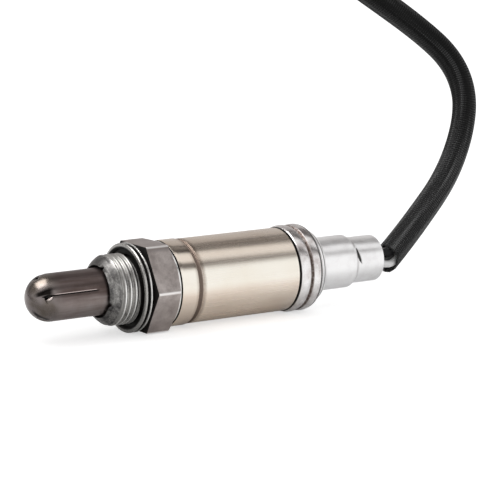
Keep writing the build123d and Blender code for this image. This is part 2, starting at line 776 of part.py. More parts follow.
def rounded_slab(start, end, width, height, corner):
    """A rounded rectangular length of the plug, on the plug's own axis."""
    with BuildPart() as slab:
        with BuildSketch(Plane.YZ.offset(start)):
            with Locations(plug_centre):
                RectangleRounded(width, height, corner)
        extrude(amount=end - start)
    return slab.part


plug_barrel = rounded_slab(
    plug_rear, shroud_start, PLUG_BARREL_WIDTH, PLUG_BARREL_HEIGHT, PLUG_CORNER
)
plug_shroud = rounded_slab(shroud_start, plug_front, PLUG_WIDTH, PLUG_HEIGHT, PLUG_CORNER)
socket_cut = rounded_slab(socket_floor, plug_front, cavity_width, cavity_height, cavity_corner)
seal_end = plug_rear - WIRE_SEAL_LENGTH
seal_cut = rounded_slab(plug_rear, seal_end, seal_width, seal_height, cavity_corner)
seal_blank = rounded_slab(
    plug_rear,
    seal_end,
    seal_width - 2 * SLIDE_FIT,
    seal_height - 2 * SLIDE_FIT,
    cavity_corner - SLIDE_FIT,
)
lock_blank = rounded_slab(
    socket_floor,
    socket_floor - LOCK_THICKNESS,
    cavity_width - 2 * LOOSE_FIT,
    cavity_height - 2 * LOOSE_FIT,
    cavity_corner - LOOSE_FIT,
)
with BuildPart() as connector_housing:
    add(plug_barrel)
    add(plug_shroud)
    add(socket_cut, mode=Mode.SUBTRACT)
    add(seal_cut, mode=Mode.SUBTRACT)
    with BuildSketch(Plane.YZ.offset(plug_rear)):
        with Locations(plug_centre):
            with GridLocations(PLUG_PITCH, PLUG_PITCH, 2, 2):
                Circle(WIRE_DIAMETER / 2 + SLIDE_FIT)
    extrude(amount=-(plug_rear - socket_floor), mode=Mode.SUBTRACT)
    latch_base = shroud_start - PLUG_SHROUD_LENGTH * 0.3
    with BuildSketch(Plane.XZ.offset(-plug_y)):
        with BuildLine():
            Polyline(
                (latch_base, plug_z + PLUG_HEIGHT / 2 - PLUG_WALL / 2),
                (latch_base, plug_z + PLUG_HEIGHT / 2 + LATCH_HEIGHT),
                (latch_base - PLUG_WALL, plug_z + PLUG_HEIGHT / 2 + LATCH_HEIGHT),
                (latch_base - LATCH_LENGTH, plug_z + PLUG_HEIGHT / 2),
                (latch_base - LATCH_LENGTH, plug_z + PLUG_HEIGHT / 2 - PLUG_WALL / 2),
                close=True,
            )
        make_face()
    extrude(amount=LATCH_WIDTH / 2, both=True)
    for side in (-1, 1):
        with BuildSketch(Plane.YZ.offset(shroud_start)):
            with Locations((plug_y + side * (PLUG_WIDTH + KEY_RIB) / 2, plug_z)):
                Rectangle(KEY_RIB + PLUG_WALL, 2 * KEY_RIB)
        extrude(amount=-PLUG_SHROUD_LENGTH + PLUG_WALL)
save(connector_housing, "connector_housing")

with BuildPart() as wire_seal:
    add(seal_blank)
    with BuildSketch(Plane.YZ.offset(plug_rear)):
        with Locations(plug_centre):
            with GridLocations(PLUG_PITCH, PLUG_PITCH, 2, 2):
                Circle(WIRE_DIAMETER / 2 + SLIDE_FIT / 2)
    extrude(amount=-WIRE_SEAL_LENGTH, mode=Mode.SUBTRACT)
save(wire_seal, "wire_seal")

with BuildPart() as terminal_lock:
    add(lock_blank)
    with BuildSketch(Plane.YZ.offset(socket_floor)):
        with Locations(plug_centre):
            with GridLocations(PLUG_PITCH, PLUG_PITCH, 2, 2):
                Rectangle(PIN_WIDTH + 2 * SLIDE_FIT, PIN_THICKNESS + 2 * SLIDE_FIT)
    extrude(amount=-LOCK_THICKNESS, mode=Mode.SUBTRACT)
save(terminal_lock, "terminal_lock")

wire_depth = plug_rear - WIRE_SEAL_LENGTH - 2.0
with BuildPart() as terminal_pins:
    with BuildSketch(Plane.YZ.offset(wire_depth)):
        with Locations(plug_centre):
            with GridLocations(PLUG_PITCH, PLUG_PITCH, 2, 2):
                Rectangle(PIN_WIDTH, PIN_THICKNESS)
    extrude(amount=-(wire_depth - socket_floor + PIN_REACH))
    chamfer(terminal_pins.faces().sort_by(Axis.X)[:4].edges(), length=PIN_THICKNESS / 4)
save(terminal_pins, "terminal_pins")

# The four wires fan out from the sleeve's end to the plug's pitch
bundle = WIRE_DIAMETER * 0.55
straight = PLUG_WIRE_LENGTH * 0.2
with BuildPart() as connector_wires:
    for side in (-1, 1):
        for level in (-1, 1):
            near = (cable_end_y + side * bundle, cable_end_z + level * bundle)
            far = (plug_y + side * PLUG_PITCH / 2, plug_z + level * PLUG_PITCH / 2)
            wire_route = [
                (cable_end_x, *near),
                (cable_end_x - straight, *near),
                (plug_rear + straight, *far),
                (wire_depth, *far),
            ]
            add(tube_along(wire_route, route_radii(wire_route), WIRE_DIAMETER).part)
save(connector_wires, "connector_wires")
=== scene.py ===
"""The looks of a heated four-wire oxygen sensor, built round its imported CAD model.

Outlines are written in millimetres on the sensor's own axis, X, and become metres in the meshes.
X = 0 is the plane where the exhaust boss meets the crush ring, and the probe points to -X.
"""

from functools import partialmethod
from math import acos, atan2, cos, degrees, pi, radians, sin, sqrt, tan

import bmesh
import bpy
import numpy as np
from mathutils import Matrix, Vector


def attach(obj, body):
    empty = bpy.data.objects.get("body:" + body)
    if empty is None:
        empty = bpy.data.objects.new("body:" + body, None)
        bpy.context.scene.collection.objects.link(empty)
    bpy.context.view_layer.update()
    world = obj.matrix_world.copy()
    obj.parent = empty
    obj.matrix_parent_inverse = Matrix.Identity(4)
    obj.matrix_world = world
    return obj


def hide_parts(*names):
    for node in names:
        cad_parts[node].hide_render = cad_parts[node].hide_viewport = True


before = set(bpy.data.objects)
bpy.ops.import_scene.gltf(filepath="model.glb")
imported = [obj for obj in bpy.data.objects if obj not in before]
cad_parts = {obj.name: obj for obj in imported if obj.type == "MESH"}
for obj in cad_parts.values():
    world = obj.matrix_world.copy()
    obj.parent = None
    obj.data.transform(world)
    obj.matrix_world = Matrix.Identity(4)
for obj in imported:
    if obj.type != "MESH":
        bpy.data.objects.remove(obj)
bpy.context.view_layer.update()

# ---- threaded shell
# One steel turning, zinc-plated: the M18 x 1.5 thread, the relief behind it, the hexagon that a
# 22 mm spanner turns, and the boss that the rear sleeve is welded to. Its nose is staked in four
# places over the protection tubes.
MM = 0.001
thread_radius = 9.0
thread_pitch = 1.5
thread_depth = 0.60
thread_phase = 0.28
thread_end = -0.1
nose_end = -7.7
nose_bore = 6.6
nose_land = 6.75
nose_taper = [(-7.17, 7.45), (-6.56, 8.06), (-5.87, 8.58), (-5.1, 9.0)]
lip_bore = 7.4
relief_radius = 8.1
stake_angles = (68.0, 158.0, 248.0, 338.0)
stake_depth = 0.75
hex_flats = 22.0
hex_start = 3.0
hex_end = 10.1
hex_face_radius = 10.7
hex_chamfer = 21.0
hex_edge = 0.16
hex_corner_round = 0.42
flange_end = 10.55
flange_edge = 10.96
boss_radius = 10.35
boss_end = 14.0
lip_end = 15.5
lip_start = 14.5
packing_bore = 8.0
packing_start = 3.3
stack_bore = 7.0
tube_seat = -3.6
recess_bore = 6.2
recess_floor = -6.0
core_radius = 9.6
row_step = 0.055


class Signal:
    """A value that varies over a piece: one socket of a node tree, so that sums read as sums."""

    def __init__(self, tree, socket):
        self.tree = tree
        self.socket = socket

    def node(self, kind, settings=None, inputs=None, output=0):
        """Any other node: its settings are set first, then each socket gets its value or link."""
        made = self.tree.nodes.new(kind)
        for name, value in (settings or {}).items():
            if name == "stops":
                ramp = made.color_ramp
                for _ in range(len(value) - 2):
                    ramp.elements.new(0.5)
                for stop, (position, colour) in zip(ramp.elements, value):
                    stop.position = position
                    stop.color = (*colour, 1.0)
            else:
                setattr(made, name, value)
        for key, value in (inputs or {}).items():
            if isinstance(value, Signal):
                self.tree.links.new(value.socket, made.inputs[key])
            elif isinstance(value, tuple) and made.inputs[key].type == "RGBA":
                made.inputs[key].default_value = (*value, 1.0)
            else:
                made.inputs[key].default_value = value
        return Signal(self.tree, made.outputs[output]) if made.outputs else None

    def maths(self, operation, *others):
        inputs = dict(enumerate((self, *others)))
        return self.node("ShaderNodeMath", {"operation": operation}, inputs)

    __add__ = __radd__ = partialmethod(maths, "ADD")
    __sub__ = partialmethod(maths, "SUBTRACT")
    __mul__ = __rmul__ = partialmethod(maths, "MULTIPLY")
    __truediv__ = partialmethod(maths, "DIVIDE")
    __pow__ = partialmethod(maths, "POWER")
    __or__ = partialmethod(maths, "MAXIMUM")

    def __neg__(self):
        return self * -1.0

    def __rsub__(self, other):
        return -self + other

    def step(self, low, high):
        """0 below low and 1 above high, changing softly; swapped limits turn it round."""
        settings = {"interpolation_type": "SMOOTHSTEP"}
        inputs = {"Value": self, "From Min": min(low, high), "From Max": max(low, high)}
        if low > high:
            inputs.update({"To Min": 1.0, "To Max": 0.0})
        return self.node("ShaderNodeMapRange", settings, inputs)

    def band(self, start, full, fade, end):
        """1 from full to fade and 0 outside start and end, with soft changes between."""
        return self.step(start, full) * self.step(end, fade)

    def mix(self, low, high):
        """The colour low where this value is 0 and high where it is 1."""
        return self.node("ShaderNodeMix", {"data_type": "RGBA"}, {0: self, 6: low, 7: high}, 2)

    def ramp(self, *stops):
        return self.node("ShaderNodeValToRGB", {"stops": stops}, {"Fac": self})

    def split(self):
        return [self.node("ShaderNodeSeparateXYZ", {}, {0: self}, axis) for axis in range(3)]

    def noise(self, scale, detail=3.0, stretch=(1.0, 1.0, 1.0), roughness=0.55):
        """Cloudy variation over a place, finer with scale (in 1/m) and drawn out by stretch."""
        placed = self.node("ShaderNodeMapping", {}, {"Vector": self, "Scale": stretch})
        inputs = {"Vector": placed, "Scale": scale, "Detail": detail, "Roughness": roughness}
        return self.node("ShaderNodeTexNoise", {}, inputs)

    def pits(self, scale):
        """Distance to the nearest of many scattered points, for specks and pits."""
        return self.node("ShaderNodeTexVoronoi", {}, {"Vector": self, "Scale": scale})


class Finish:
    """A material made of nodes: `place` is the point on the piece, and `surface` ends it."""

    def __init__(self, name, coordinates="Object"):
        self.material = bpy.data.materials.new(name)
        self.material.use_nodes = True
        tree = self.material.node_tree
        tree.nodes.clear()
        where = tree.nodes.new("ShaderNodeTexCoord")
        self.place = Signal(tree, where.outputs[coordinates])
        self.station, self.across, self.above = self.place.split()

    def from_axis(self):
        """Distance from the sensor's axis, in metres."""
        return (self.across * self.across + self.above * self.above) ** 0.5

    def around(self):
        """Angle round the sensor's axis, in radians up from -Y."""
        return self.above.maths("ARCTAN2", -self.across)

    def turning(self):
        """The place as a lathe sees it, so that a pattern runs round the axis in rings."""
        across = {0: self.station, 1: self.from_axis(), 2: 0.0}
        return self.place.node("ShaderNodeCombineXYZ", {}, across)

    def surface(self, colour, roughness, metallic=0.0, height=None, relief=0.00001, **constants):
        """Joins the patterns to the shader; a full step of height stands `relief` metres high."""
        inputs = {"Base Color": colour, "Roughness": roughness, "Metallic": metallic}
        if height is not None:
            bump = {"Height": height, "Distance": relief, "Strength": 1.0}
            inputs["Normal"] = self.place.node("ShaderNodeBump", {}, bump)
        for name, value in constants.items():
            inputs[name.replace("_", " ")] = value
        shader = self.place.node("ShaderNodeBsdfPrincipled", {}, inputs)
        self.place.node("ShaderNodeOutputMaterial", {}, {"Surface": shader})
        return self.material


def rounded(corners, steps=5):
    """A closed outline of (station, radius, rounding) corners with each rounding as an arc."""
    outline = []
    count = len(corners)
    for index, (x, r, rounding) in enumerate(corners):
        here = np.array((x, r))
        before = np.array(corners[index - 1][:2]) - here
        after = np.array(corners[(index + 1) % count][:2]) - here
        room = min(np.linalg.norm(before), np.linalg.norm(after))
        before = before / np.linalg.norm(before)
        after = after / np.linalg.norm(after)
        half = acos(max(-1.0, min(1.0, float(before @ after)))) / 2
        if rounding <= 0 or half > 1.56:
            outline.append((x, r))
            continue
        reach = min(rounding / tan(half), 0.49 * room)
        radius = reach * tan(half)
        centre = here + (before + after) / np.linalg.norm(before + after) * radius / sin(half)
        start, end = here + before * reach - centre, here + after * reach - centre
        turn = atan2(start[0] * end[1] - start[1] * end[0], float(start @ end))
        for step in range(steps + 1):
            angle = turn * step / steps
            x = centre[0] + start[0] * cos(angle) - start[1] * sin(angle)
            r = centre[1] + start[0] * sin(angle) + start[1] * cos(angle)
            outline.append((x, r))
    return np.array(outline)


def grid_faces(rows, columns, close_rows=True):
    """Quads over a grid of points numbered row by row, where each row closes on itself."""
    faces = []
    for row in range(rows if close_rows else rows - 1):
        here, below = row * columns, (row + 1) % rows * columns
        for column in range(columns):
            beside = (column + 1) % columns
            faces.append((here + column, here + beside, below + beside, below + column))
    return faces


def added(name, data):
    """A new object of the scene that shows this mesh, lamp, curve or camera."""
    piece = bpy.data.objects.new(name, data)
    bpy.context.scene.collection.objects.link(piece)
    return piece


def result_of(piece):
    """A plain mesh of what a piece has become through its modifiers or as a curve."""
    evaluated = piece.evaluated_get(bpy.context.evaluated_depsgraph_get())
    return bpy.data.meshes.new_from_object(evaluated)


def shaped(name, points, faces, sharp=32.0):
    """A smooth mesh piece from points in millimetres, its faces outwards and its edges crisp."""
    mesh = bpy.data.meshes.new(name)
    mesh.from_pydata((np.asarray(points) * MM).tolist(), [], faces)
    build = bmesh.new()
    build.from_mesh(mesh)
    bmesh.ops.remove_doubles(build, verts=build.verts, dist=1e-7)
    bmesh.ops.recalc_face_normals(build, faces=build.faces)
    build.to_mesh(mesh)
    build.free()
    mesh.shade_smooth()
    mesh.set_sharp_from_angle(angle=radians(sharp))
    return added(name, mesh)


def spun(outline, segments=192):
    """Points of an outline turned round the sensor's axis; the angle runs up from -Y."""
    angle = np.arange(segments) * 2 * pi / segments
    station = np.repeat(outline[:, 0:1], segments, axis=1)
    across = -outline[:, 1:2] * np.cos(angle)
    above = outline[:, 1:2] * np.sin(angle)
    return np.stack([station, across, above], axis=-1).reshape(-1, 3)


def about_axis(points):
    """Each point's station, distance from the axis and angle in degrees up from -Y."""
    x, y, z = points.T
    return x, np.hypot(y, z), np.degrees(np.arctan2(z, -y))


def turned(name, corners, segments=192):
    """A round piece turned on the sensor's axis from a closed outline."""
    outline = rounded(corners)
    return shaped(name, spun(outline, segments), grid_faces(len(outline), segments))


def place_on(piece, material, slot, *nodes):
    """Gives a piece its finish, its body and the CAD nodes that it stands for."""
    piece.data.materials.clear()
    piece.data.materials.append(material)
    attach(piece, "root")
    if nodes:
        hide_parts(*nodes)


# The nose's taper and the thread's land, in rows fine enough for the thread's flanks
taper_x, taper_r = np.array([(nose_end + 0.06, nose_land + 0.09), *nose_taper]).T
thread_rows = [
    (x, float(np.interp(x, taper_x, taper_r)), 0.0)
    for x in np.arange(nose_end + 0.1, thread_end, row_step)
]
shell_outline = rounded(
    [
        (nose_end, nose_bore, 0.06), (nose_end, nose_land, 0.08),
        *thread_rows,
        (0.0, thread_radius, 0.0), (0.45, relief_radius, 0.1), (hex_start, relief_radius, 0.0),
        (hex_start + 0.4, core_radius, 0.0), (hex_end - 0.4, core_radius, 0.0),
        (hex_end - 0.2, flange_edge, 0.0), (flange_end, flange_edge, 0.14),
        (flange_end, boss_radius, 0.0), (boss_end, boss_radius, 0.15),
        (boss_end, thread_radius, 0.2), (lip_end, thread_radius, 0.6), (lip_end, lip_bore, 0.1),
        (lip_start, lip_bore, 0.1), (lip_start, packing_bore, 0.0),
        (packing_start, packing_bore, 0.0), (packing_start, stack_bore, 0.0),
        (tube_seat, stack_bore, 0.0), (tube_seat, recess_bore, 0.0),
        (recess_floor, recess_bore, 0.0), (recess_floor, nose_bore, 0.0),
    ]
)
shell_segments = 216
shell_points = spun(shell_outline, shell_segments)
shell_faces = grid_faces(len(shell_outline), shell_segments)

# Stakes: where a punch has pressed the nose's rim inwards, the bore's edge opens in a short notch
along, radius, angle = about_axis(shell_points)
on_rim = (along < nose_end + 0.5) & (radius < nose_land + 0.5)
for stake_angle in stake_angles:
    off = np.abs((angle - stake_angle + 180) % 360 - 180)
    pressed = np.clip(1 - off / 6.5, 0, 1) * on_rim
    shell_points[:, 0] += pressed * stake_depth
    shell_points[:, 1:] *= (1 + pressed * 0.04)[:, None]

# The hexagon: flats and rounded corners carried along the axis, with a turned chamfer at the rear
corner_centre = (hex_flats / 2 - hex_corner_round) / cos(radians(30))
flat_shares = (0.01, 0.06, 0.15, 0.25, 0.35, 0.45, 0.55, 0.65, 0.75, 0.85, 0.94, 0.99)


def corner_point(middle, swing):
    """A point on the rounded corner at the angle middle, swung from its centre line."""
    parts = [corner_centre * f(middle) + hex_corner_round * f(middle + swing) for f in (cos, sin)]
    return np.array(parts)


section = []
for corner in range(6):
    middle = radians(60 * corner)
    section += [corner_point(middle, radians(10 * step - 30)) for step in range(7)]
    start, end = section[-1], corner_point(middle + radians(60), radians(-30))
    section += [start + (end - start) * share for share in flat_shares]
section = np.array(section)
reach = np.hypot(section[:, 0], section[:, 1])
direction = section / reach[:, None]
chamfer_slope = tan(radians(hex_chamfer))
chamfer_start = hex_end - (reach - hex_face_radius) * chamfer_slope
hex_rows = [
    (hex_start, direction * (relief_radius + 0.05)),
    (hex_start, section - direction * hex_edge),
    (hex_start + 0.3 * hex_edge, section - direction * 0.3 * hex_edge),
    (hex_start + hex_edge, section), (chamfer_start - 0.4 * hex_edge, section),
    (chamfer_start + 0.1 * hex_edge, section - direction * 0.3 * hex_edge),
    (chamfer_start + 0.4 * hex_edge, section - direction * 0.8 * hex_edge),
    (hex_end - 0.03, direction * (hex_face_radius + 0.02)),
    (hex_end, direction * (hex_face_radius - 0.08)), (hex_end, direction * (boss_radius - 0.3)),
]
hex_points = np.concatenate(
    [np.column_stack([x + 0 * reach, -yz[:, 0], yz[:, 1]]) for x, yz in hex_rows]
)
first = len(shell_points)
shell_faces += [
    tuple(first + index for index in face) for face in grid_faces(len(hex_rows), len(section))
]
shell = shaped("shell", np.concatenate([shell_points, hex_points]), shell_faces, sharp=24.0)


def empty_tree(name, sizes):
    """A geometry tree that asks for a piece, these sizes and a finish, and what it is given."""
    tree = bpy.data.node_groups.new(name, "GeometryNodeTree")
    floats = [(label, "Float") for label in sizes]
    asked = [("Geometry", "Geometry"), *floats, ("Finish", "Material")]
    for label, kind in asked:
        tree.interface.new_socket(label, in_out="INPUT", socket_type="NodeSocket" + kind)
    tree.interface.new_socket("Geometry", in_out="OUTPUT", socket_type="NodeSocketGeometry")
    given = tree.nodes.new("NodeGroupInput")
    return tree, {label: Signal(tree, given.outputs[label]) for label, _ in asked}


def finish_tree(made, finish):
    """Gives a tree's geometry its finish and makes it the tree's result."""
    realized = made.node("GeometryNodeRealizeInstances", {}, {"Geometry": made})
    inputs = {"Geometry": realized, "Material": finish}
    finished = made.node("GeometryNodeSetMaterial", {}, inputs)
    result = made.tree.nodes.new("NodeGroupOutput")
    made.tree.links.new(finished.socket, result.inputs["Geometry"])


# The thread is cut by a rule: a groove that follows the pitch round the axis is cut down to its own
# radius, so it runs out by itself on the nose's taper, and it ends at the relief.
thread_sizes = {
    "Pitch": thread_pitch * MM,
    "Depth": thread_depth * MM,
    "Phase": thread_phase,
    "Radius": thread_radius * MM,
    "End": 0.15 * MM,
}
thread_tree, size = empty_tree("cut_thread", thread_sizes)
blank = size["Geometry"]
x, y, z = blank.node("GeometryNodeInputPosition").split()
from_axis = (y * y + z * z) ** 0.5
turns = z.maths("ARCTAN2", -y) / (2 * pi)
in_pitch = (x / size["Pitch"] - turns + size["Phase"]).maths("FRACT")
groove = ((in_pitch - 0.5).maths("ABSOLUTE") * 2.0).step(0.08, 0.88)
floor = size["Radius"] - size["Depth"] * groove
cut = (from_axis - floor | 0.0) * x.maths("LESS_THAN", size["End"])
shrink = 1.0 - cut / from_axis
moved = x.node("ShaderNodeCombineXYZ", {}, {0: x, 1: y * shrink, 2: z * shrink})
threaded = blank.node("GeometryNodeSetPosition", {}, {"Geometry": blank, "Position": moved})
finish_tree(threaded, size["Finish"])


def grown(piece, tree, sizes, finish):
    """Runs a node tree on a piece with these sizes and keeps the result as a plain mesh."""
    modifier = piece.modifiers.new(tree.name, "NODES")
    modifier.node_group = tree
    for item in tree.interface.items_tree:
        if item.item_type == "SOCKET" and item.in_out == "INPUT" and item.name in sizes:
            modifier[item.identifier] = sizes[item.name]
        if item.item_type == "SOCKET" and item.name == "Finish":
            modifier[item.identifier] = finish
    mesh = result_of(piece)
    piece.modifiers.remove(modifier)
    piece.data = mesh
    return piece


plated = Finish("plated_steel")
from_axis = plated.from_axis()
in_front = plated.station.step(0.0022, 0.0014)
in_bore = from_axis.step(0.00676, 0.00662) * plated.station.step(-0.0030, -0.0050)
bare_ring = plated.station.step(0.01006, 0.01012)
in_relief = plated.station.band(-0.0004, 0.0004, 0.0030, 0.0031)
# Painted shade: the relief, the nose's bore and the boss behind the flange turn nearly black
painted_recess_shade = in_relief | bare_ring * from_axis.step(0.0109, 0.0107) | in_bore
# Painted highlight on the thread's crests, in the lower half only
painted_crest_highlight = in_front * from_axis.step(0.00886, 0.00898) * plated.above.step(0.0055, 0.0015)
clouds = plated.place.noise(230.0, 4.0)
blotches = plated.place.noise(640.0, 4.0, roughness=0.65)
grain = plated.place.noise(4600.0, 4.0)
lathe_rings = plated.turning().noise(3800.0, 3.0)
handled = plated.place.noise(420.0, 5.0, roughness=0.7)
on_thread = plated.station.step(-0.0058, -0.0050)
painted_nose_shade = plated.above.step(0.0035, 0.0066) * plated.station.step(-0.0052, -0.0064)
# Tints placed by side: painted shade on the top of the nose, painted highlights on the thread's
# crests in the lower half, and painted shade on the top and lower flats
nose_colour = (handled * 0.7 + lathe_rings * 0.12 + grain * 0.18 + on_thread * 0.12).ramp(
    (0.41, (0.06, 0.058, 0.058)), (0.5, (0.155, 0.15, 0.146)), (0.61, (0.37, 0.36, 0.345))
)
nose_colour = (painted_nose_shade * 0.6).mix(nose_colour, (0.055, 0.052, 0.050))
hex_colour = (clouds * 0.45 + blotches * 0.35 + grain * 0.2).ramp(
    (0.38, (0.35, 0.305, 0.287)), (0.5, (0.495, 0.44, 0.42)), (0.62, (0.65, 0.59, 0.565))
)
# Painted highlight along the hexagon's rounded corners
painted_corner_highlight = from_axis.step(0.01243, 0.01257)
# Painted shade on the hexagon's top and lower flats
painted_flat_shade = plated.above.step(0.0092, 0.0104) * 0.75 + plated.above.step(-0.0005, -0.0030) * 0.4
hex_colour = painted_flat_shade.mix(hex_colour, (0.31, 0.27, 0.255))
hex_colour = (painted_corner_highlight * 0.9).mix(hex_colour, (0.93, 0.90, 0.88))
steel_colour = in_front.mix(hex_colour, painted_crest_highlight.mix(nose_colour, (0.88, 0.87, 0.85)))
plated_steel = plated.surface(
    painted_recess_shade.mix(bare_ring.mix(steel_colour, (0.86, 0.85, 0.83)), (0.012, 0.010, 0.009)),
    0.27 + painted_recess_shade * 0.4 + handled * 0.16 - painted_crest_highlight * 0.12 - bare_ring * 0.08,
    1.0 - painted_recess_shade,
    grain * 0.2 + blotches * 0.3 + handled * (in_front * 0.9 + 0.1),
    0.000014,
    Specular_IOR_Level=0.2,
)
grown(shell, thread_tree, thread_sizes, plated_steel)
shell.data.set_sharp_from_angle(angle=radians(24))
place_on(shell, plated_steel, "plated_steel", "threaded_shell")

# ---- outer protection tube
# Deep-drawn heat-resisting steel, blued and browned by the exhaust. Four louvres let the gas in:
# each is a lanced slot whose lower lip is pressed inwards, deepest near the dome.
tube_tip = -27.2
tube_radius = 6.0
tube_wall = 0.35
tube_flange = -3.6
flange_radius = 6.85
slot_start = -24.9
slot_end = -9.9
slot_angle = 16.0
slot_width = 0.34
slot_mouth = 0.85
louvre_depth = 1.7
louvre_length = 2.0
louvre_height = 1.95

dome_centre = tube_tip + tube_radius
tube_profile = [
    (dome_centre - tube_radius * cos(radians(turn)), tube_radius * sin(radians(turn)))
    for turn in np.linspace(0.6, 90, 46)
]
tube_profile += [(x, tube_radius) for x in np.linspace(dome_centre, slot_end - 1.2, 46)[1:]]
tube_profile += [(slot_end + step, tube_radius) for step in (-0.6, -0.2, 0.0, 0.4)]
tube_profile += [(-7.5, tube_radius), (tube_flange - 0.35, tube_radius)]
tube_profile += [(tube_flange - 0.1, tube_radius + 0.1), (tube_flange, tube_radius + 0.35)]
tube_profile += [(tube_flange, flange_radius)]
tube_profile = np.array(tube_profile)


def hollow(skin, thickness):
    """Gives a bare skin its wall, inwards."""
    wall = skin.modifiers.new("wall", "SOLIDIFY")
    wall.thickness = thickness * MM
    wall.offset = -1.0
    wall.use_even_offset = False


def slot_half_width(station):
    """Half of a slot's opening at a station: a short mouth, then a narrow slit to its end."""
    into = station - slot_start
    left = slot_end - station
    mouth = slot_mouth * max(0.0, 1 - abs(into - 1.2) / 1.8) ** 0.8
    opening = max(mouth, slot_width * min(1.0, max(into, 0.0) / 0.6))
    return 0.5 * opening * min(1.0, max(left, 0.0) / 1.2) ** 0.7


quarter = 40
columns = 4 * quarter
tube_points = []
for station, around_axis in tube_profile:
    half = slot_half_width(station)
    half_turn = degrees(half / max(around_axis, 0.5))
    for slot in range(4):
        for step in range(quarter):
            share = 0.5 - 0.5 * cos(pi * step / (quarter - 1))
            swing = half_turn + (90 - 2 * half_turn) * share
            turn = slot_angle + 90 * slot + swing
            inward = 0.0
            if half > 0:
                into = station - slot_start
                under = radians(90 - swing) * around_axis - half
                behind = into - 0.25 * under
                edge = min(1.0, max(0.0, behind / 0.25))
                ramp = 1 - behind / louvre_length - under / louvre_height
                inward = edge * louvre_depth * max(0.0, ramp)
                pressed_line = 0.22 * min(1.0, max(into, 0.0) / 0.4)
                inward += pressed_line * max(0.0, 1 - under / 0.7)
                over = radians(swing) * around_axis - half
                inward += 0.30 * max(0.0, 1 - over / 0.8) * min(1.0, max(into, 0.0) / 0.5)
            r = around_axis - inward
            tube_points.append((station, -r * cos(radians(turn)), r * sin(radians(turn))))
slotted = [slot_half_width(station) > 0 for station, _ in tube_profile] + [False]
tube_faces = []
for face in grid_faces(len(tube_profile), columns, close_rows=False):
    row = face[0] // columns
    across_slot = face[0] % quarter == quarter - 1
    if not (across_slot and (slotted[row] or slotted[row + 1])):
        tube_faces.append(face)
tube_faces.append(tuple(range(columns)))
outer_tube = shaped("outer_tube", tube_points, tube_faces, sharp=60.0)
hollow(outer_tube, tube_wall)

heated = Finish("heat_tinted_steel")
drawn_lines = heated.place.noise(620.0, 4.0, stretch=(0.10, 1.6, 1.6))
tint_clouds = heated.place.noise(170.0, 3.0)
soot = heated.place.noise(1300.0, 5.0, roughness=0.65)
on_wall = heated.station.step(-0.0235, -0.019)
quarter_turn = (heated.around() / (pi / 2)).maths("FRACT")
over_slot = quarter_turn.band(0.18, 0.25, 0.34, 0.47)
# Painted reflection: a dark patch on the dome above each slot's start
painted_dark_reflection = over_slot * heated.station.band(-0.0268, -0.0258, -0.0236, -0.0222)
# Painted highlight: a pale line along each slot's upper lip
painted_lip_highlight = quarter_turn.band(0.190, 0.194, 0.208, 0.218)
painted_lip_highlight = painted_lip_highlight * heated.station.band(-0.0228, -0.0216, -0.0110, -0.0104)
# The tube's underside is painted paler than its top: painted light below and painted shade above
painted_underside_light = heated.above.step(0.0012, -0.0016)
dome_tint = tint_clouds.ramp(
    (0.36, (0.135, 0.114, 0.098)), (0.5, (0.180, 0.156, 0.145)), (0.64, (0.225, 0.196, 0.192))
)
upper_tint = (tint_clouds * 0.4 + drawn_lines * 0.6).ramp(
    (0.36, (0.090, 0.066, 0.060)), (0.5, (0.125, 0.096, 0.090)), (0.64, (0.165, 0.132, 0.126))
)
lower_tint = (tint_clouds * 0.4 + drawn_lines * 0.6).ramp(
    (0.36, (0.215, 0.175, 0.160)), (0.5, (0.290, 0.245, 0.232)), (0.64, (0.365, 0.325, 0.312))
)
heated_colour = on_wall.mix(dome_tint, painted_underside_light.mix(upper_tint, lower_tint))
heat_tinted = heated.surface(
    painted_lip_highlight.mix(painted_dark_reflection.mix(heated_colour, (0.012, 0.010, 0.009)), (0.62, 0.52, 0.50)),
    0.21 + soot * 0.12 + on_wall * 0.13,
    1.0,
    drawn_lines * 0.6 + soot * 0.4,
    0.000007,
)
place_on(outer_tube, heat_tinted, "heat_tinted_steel", "outer_protection_tube")

# ---- inner parts of the probe
# The inner tube is painted nearly black, as painted shade inside the outer tube, and its seat
# ring is bright. The thimble is white sintered zirconia with a porous skin, and the heater a
# ground alumina rod.


def simple_finish(
    name, dark, pale, rough, grain, tone=None, metallic=0.0, relief=0.00001, **constants
):
    """One noise, the tone, shades it from dark to pale and a finer one, its grain, roughens it."""
    finish = Finish(name)
    grain = finish.place.noise(*grain)
    tone = finish.place.noise(*tone) if tone else grain
    colour = tone.ramp((0.35, dark), (0.65, pale))
    roughness = rough[0] + grain * rough[1]
    return finish.surface(colour, roughness, metallic, grain, relief, **constants)


plain_stainless = simple_finish(
    "plain_stainless",
    (0.44, 0.42, 0.40), (0.62, 0.60, 0.58),
    rough=(0.24, 0.2),
    grain=(1400.0, 4.0, (0.3, 1.0, 1.0)),
    tone=(240.0, 3.0),
    metallic=1.0,
)
shade_black_stainless = simple_finish(
    "shade_black_stainless",
    (0.014, 0.012, 0.011), (0.045, 0.038, 0.034),
    rough=(0.48, 0.2),
    grain=(900.0, 4.0),
    metallic=0.6,
)
sintered = Finish("zirconia")
pores = sintered.place.pits(5200.0)
bloom = sintered.place.noise(420.0, 4.0)
zirconia = sintered.surface(
    bloom.ramp((0.35, (0.70, 0.68, 0.64)), (0.65, (0.83, 0.81, 0.77))),
    0.5 + pores * 0.25,
    0.0,
    pores,
    0.00002,
)

alumina = simple_finish(
    "alumina",
    (0.78, 0.77, 0.74), (0.86, 0.85, 0.83),
    rough=(0.38, 0.2),
    grain=(2600.0, 3.0, (3.0, 1.0, 1.0)),
    tone=(300.0, 3.0),
)


def refinish(material, *nodes):
    """Gives CAD pieces whose shape is right their finish."""
    for node in nodes:
        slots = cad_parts[node].data.materials
        for index in range(len(slots)):
            slots[index] = material


refinish(shade_black_stainless, "inner_protection_tube")
refinish(plain_stainless, "thimble_seat_ring")
refinish(zirconia, "zirconia_thimble")
refinish(alumina, "heater_rod")

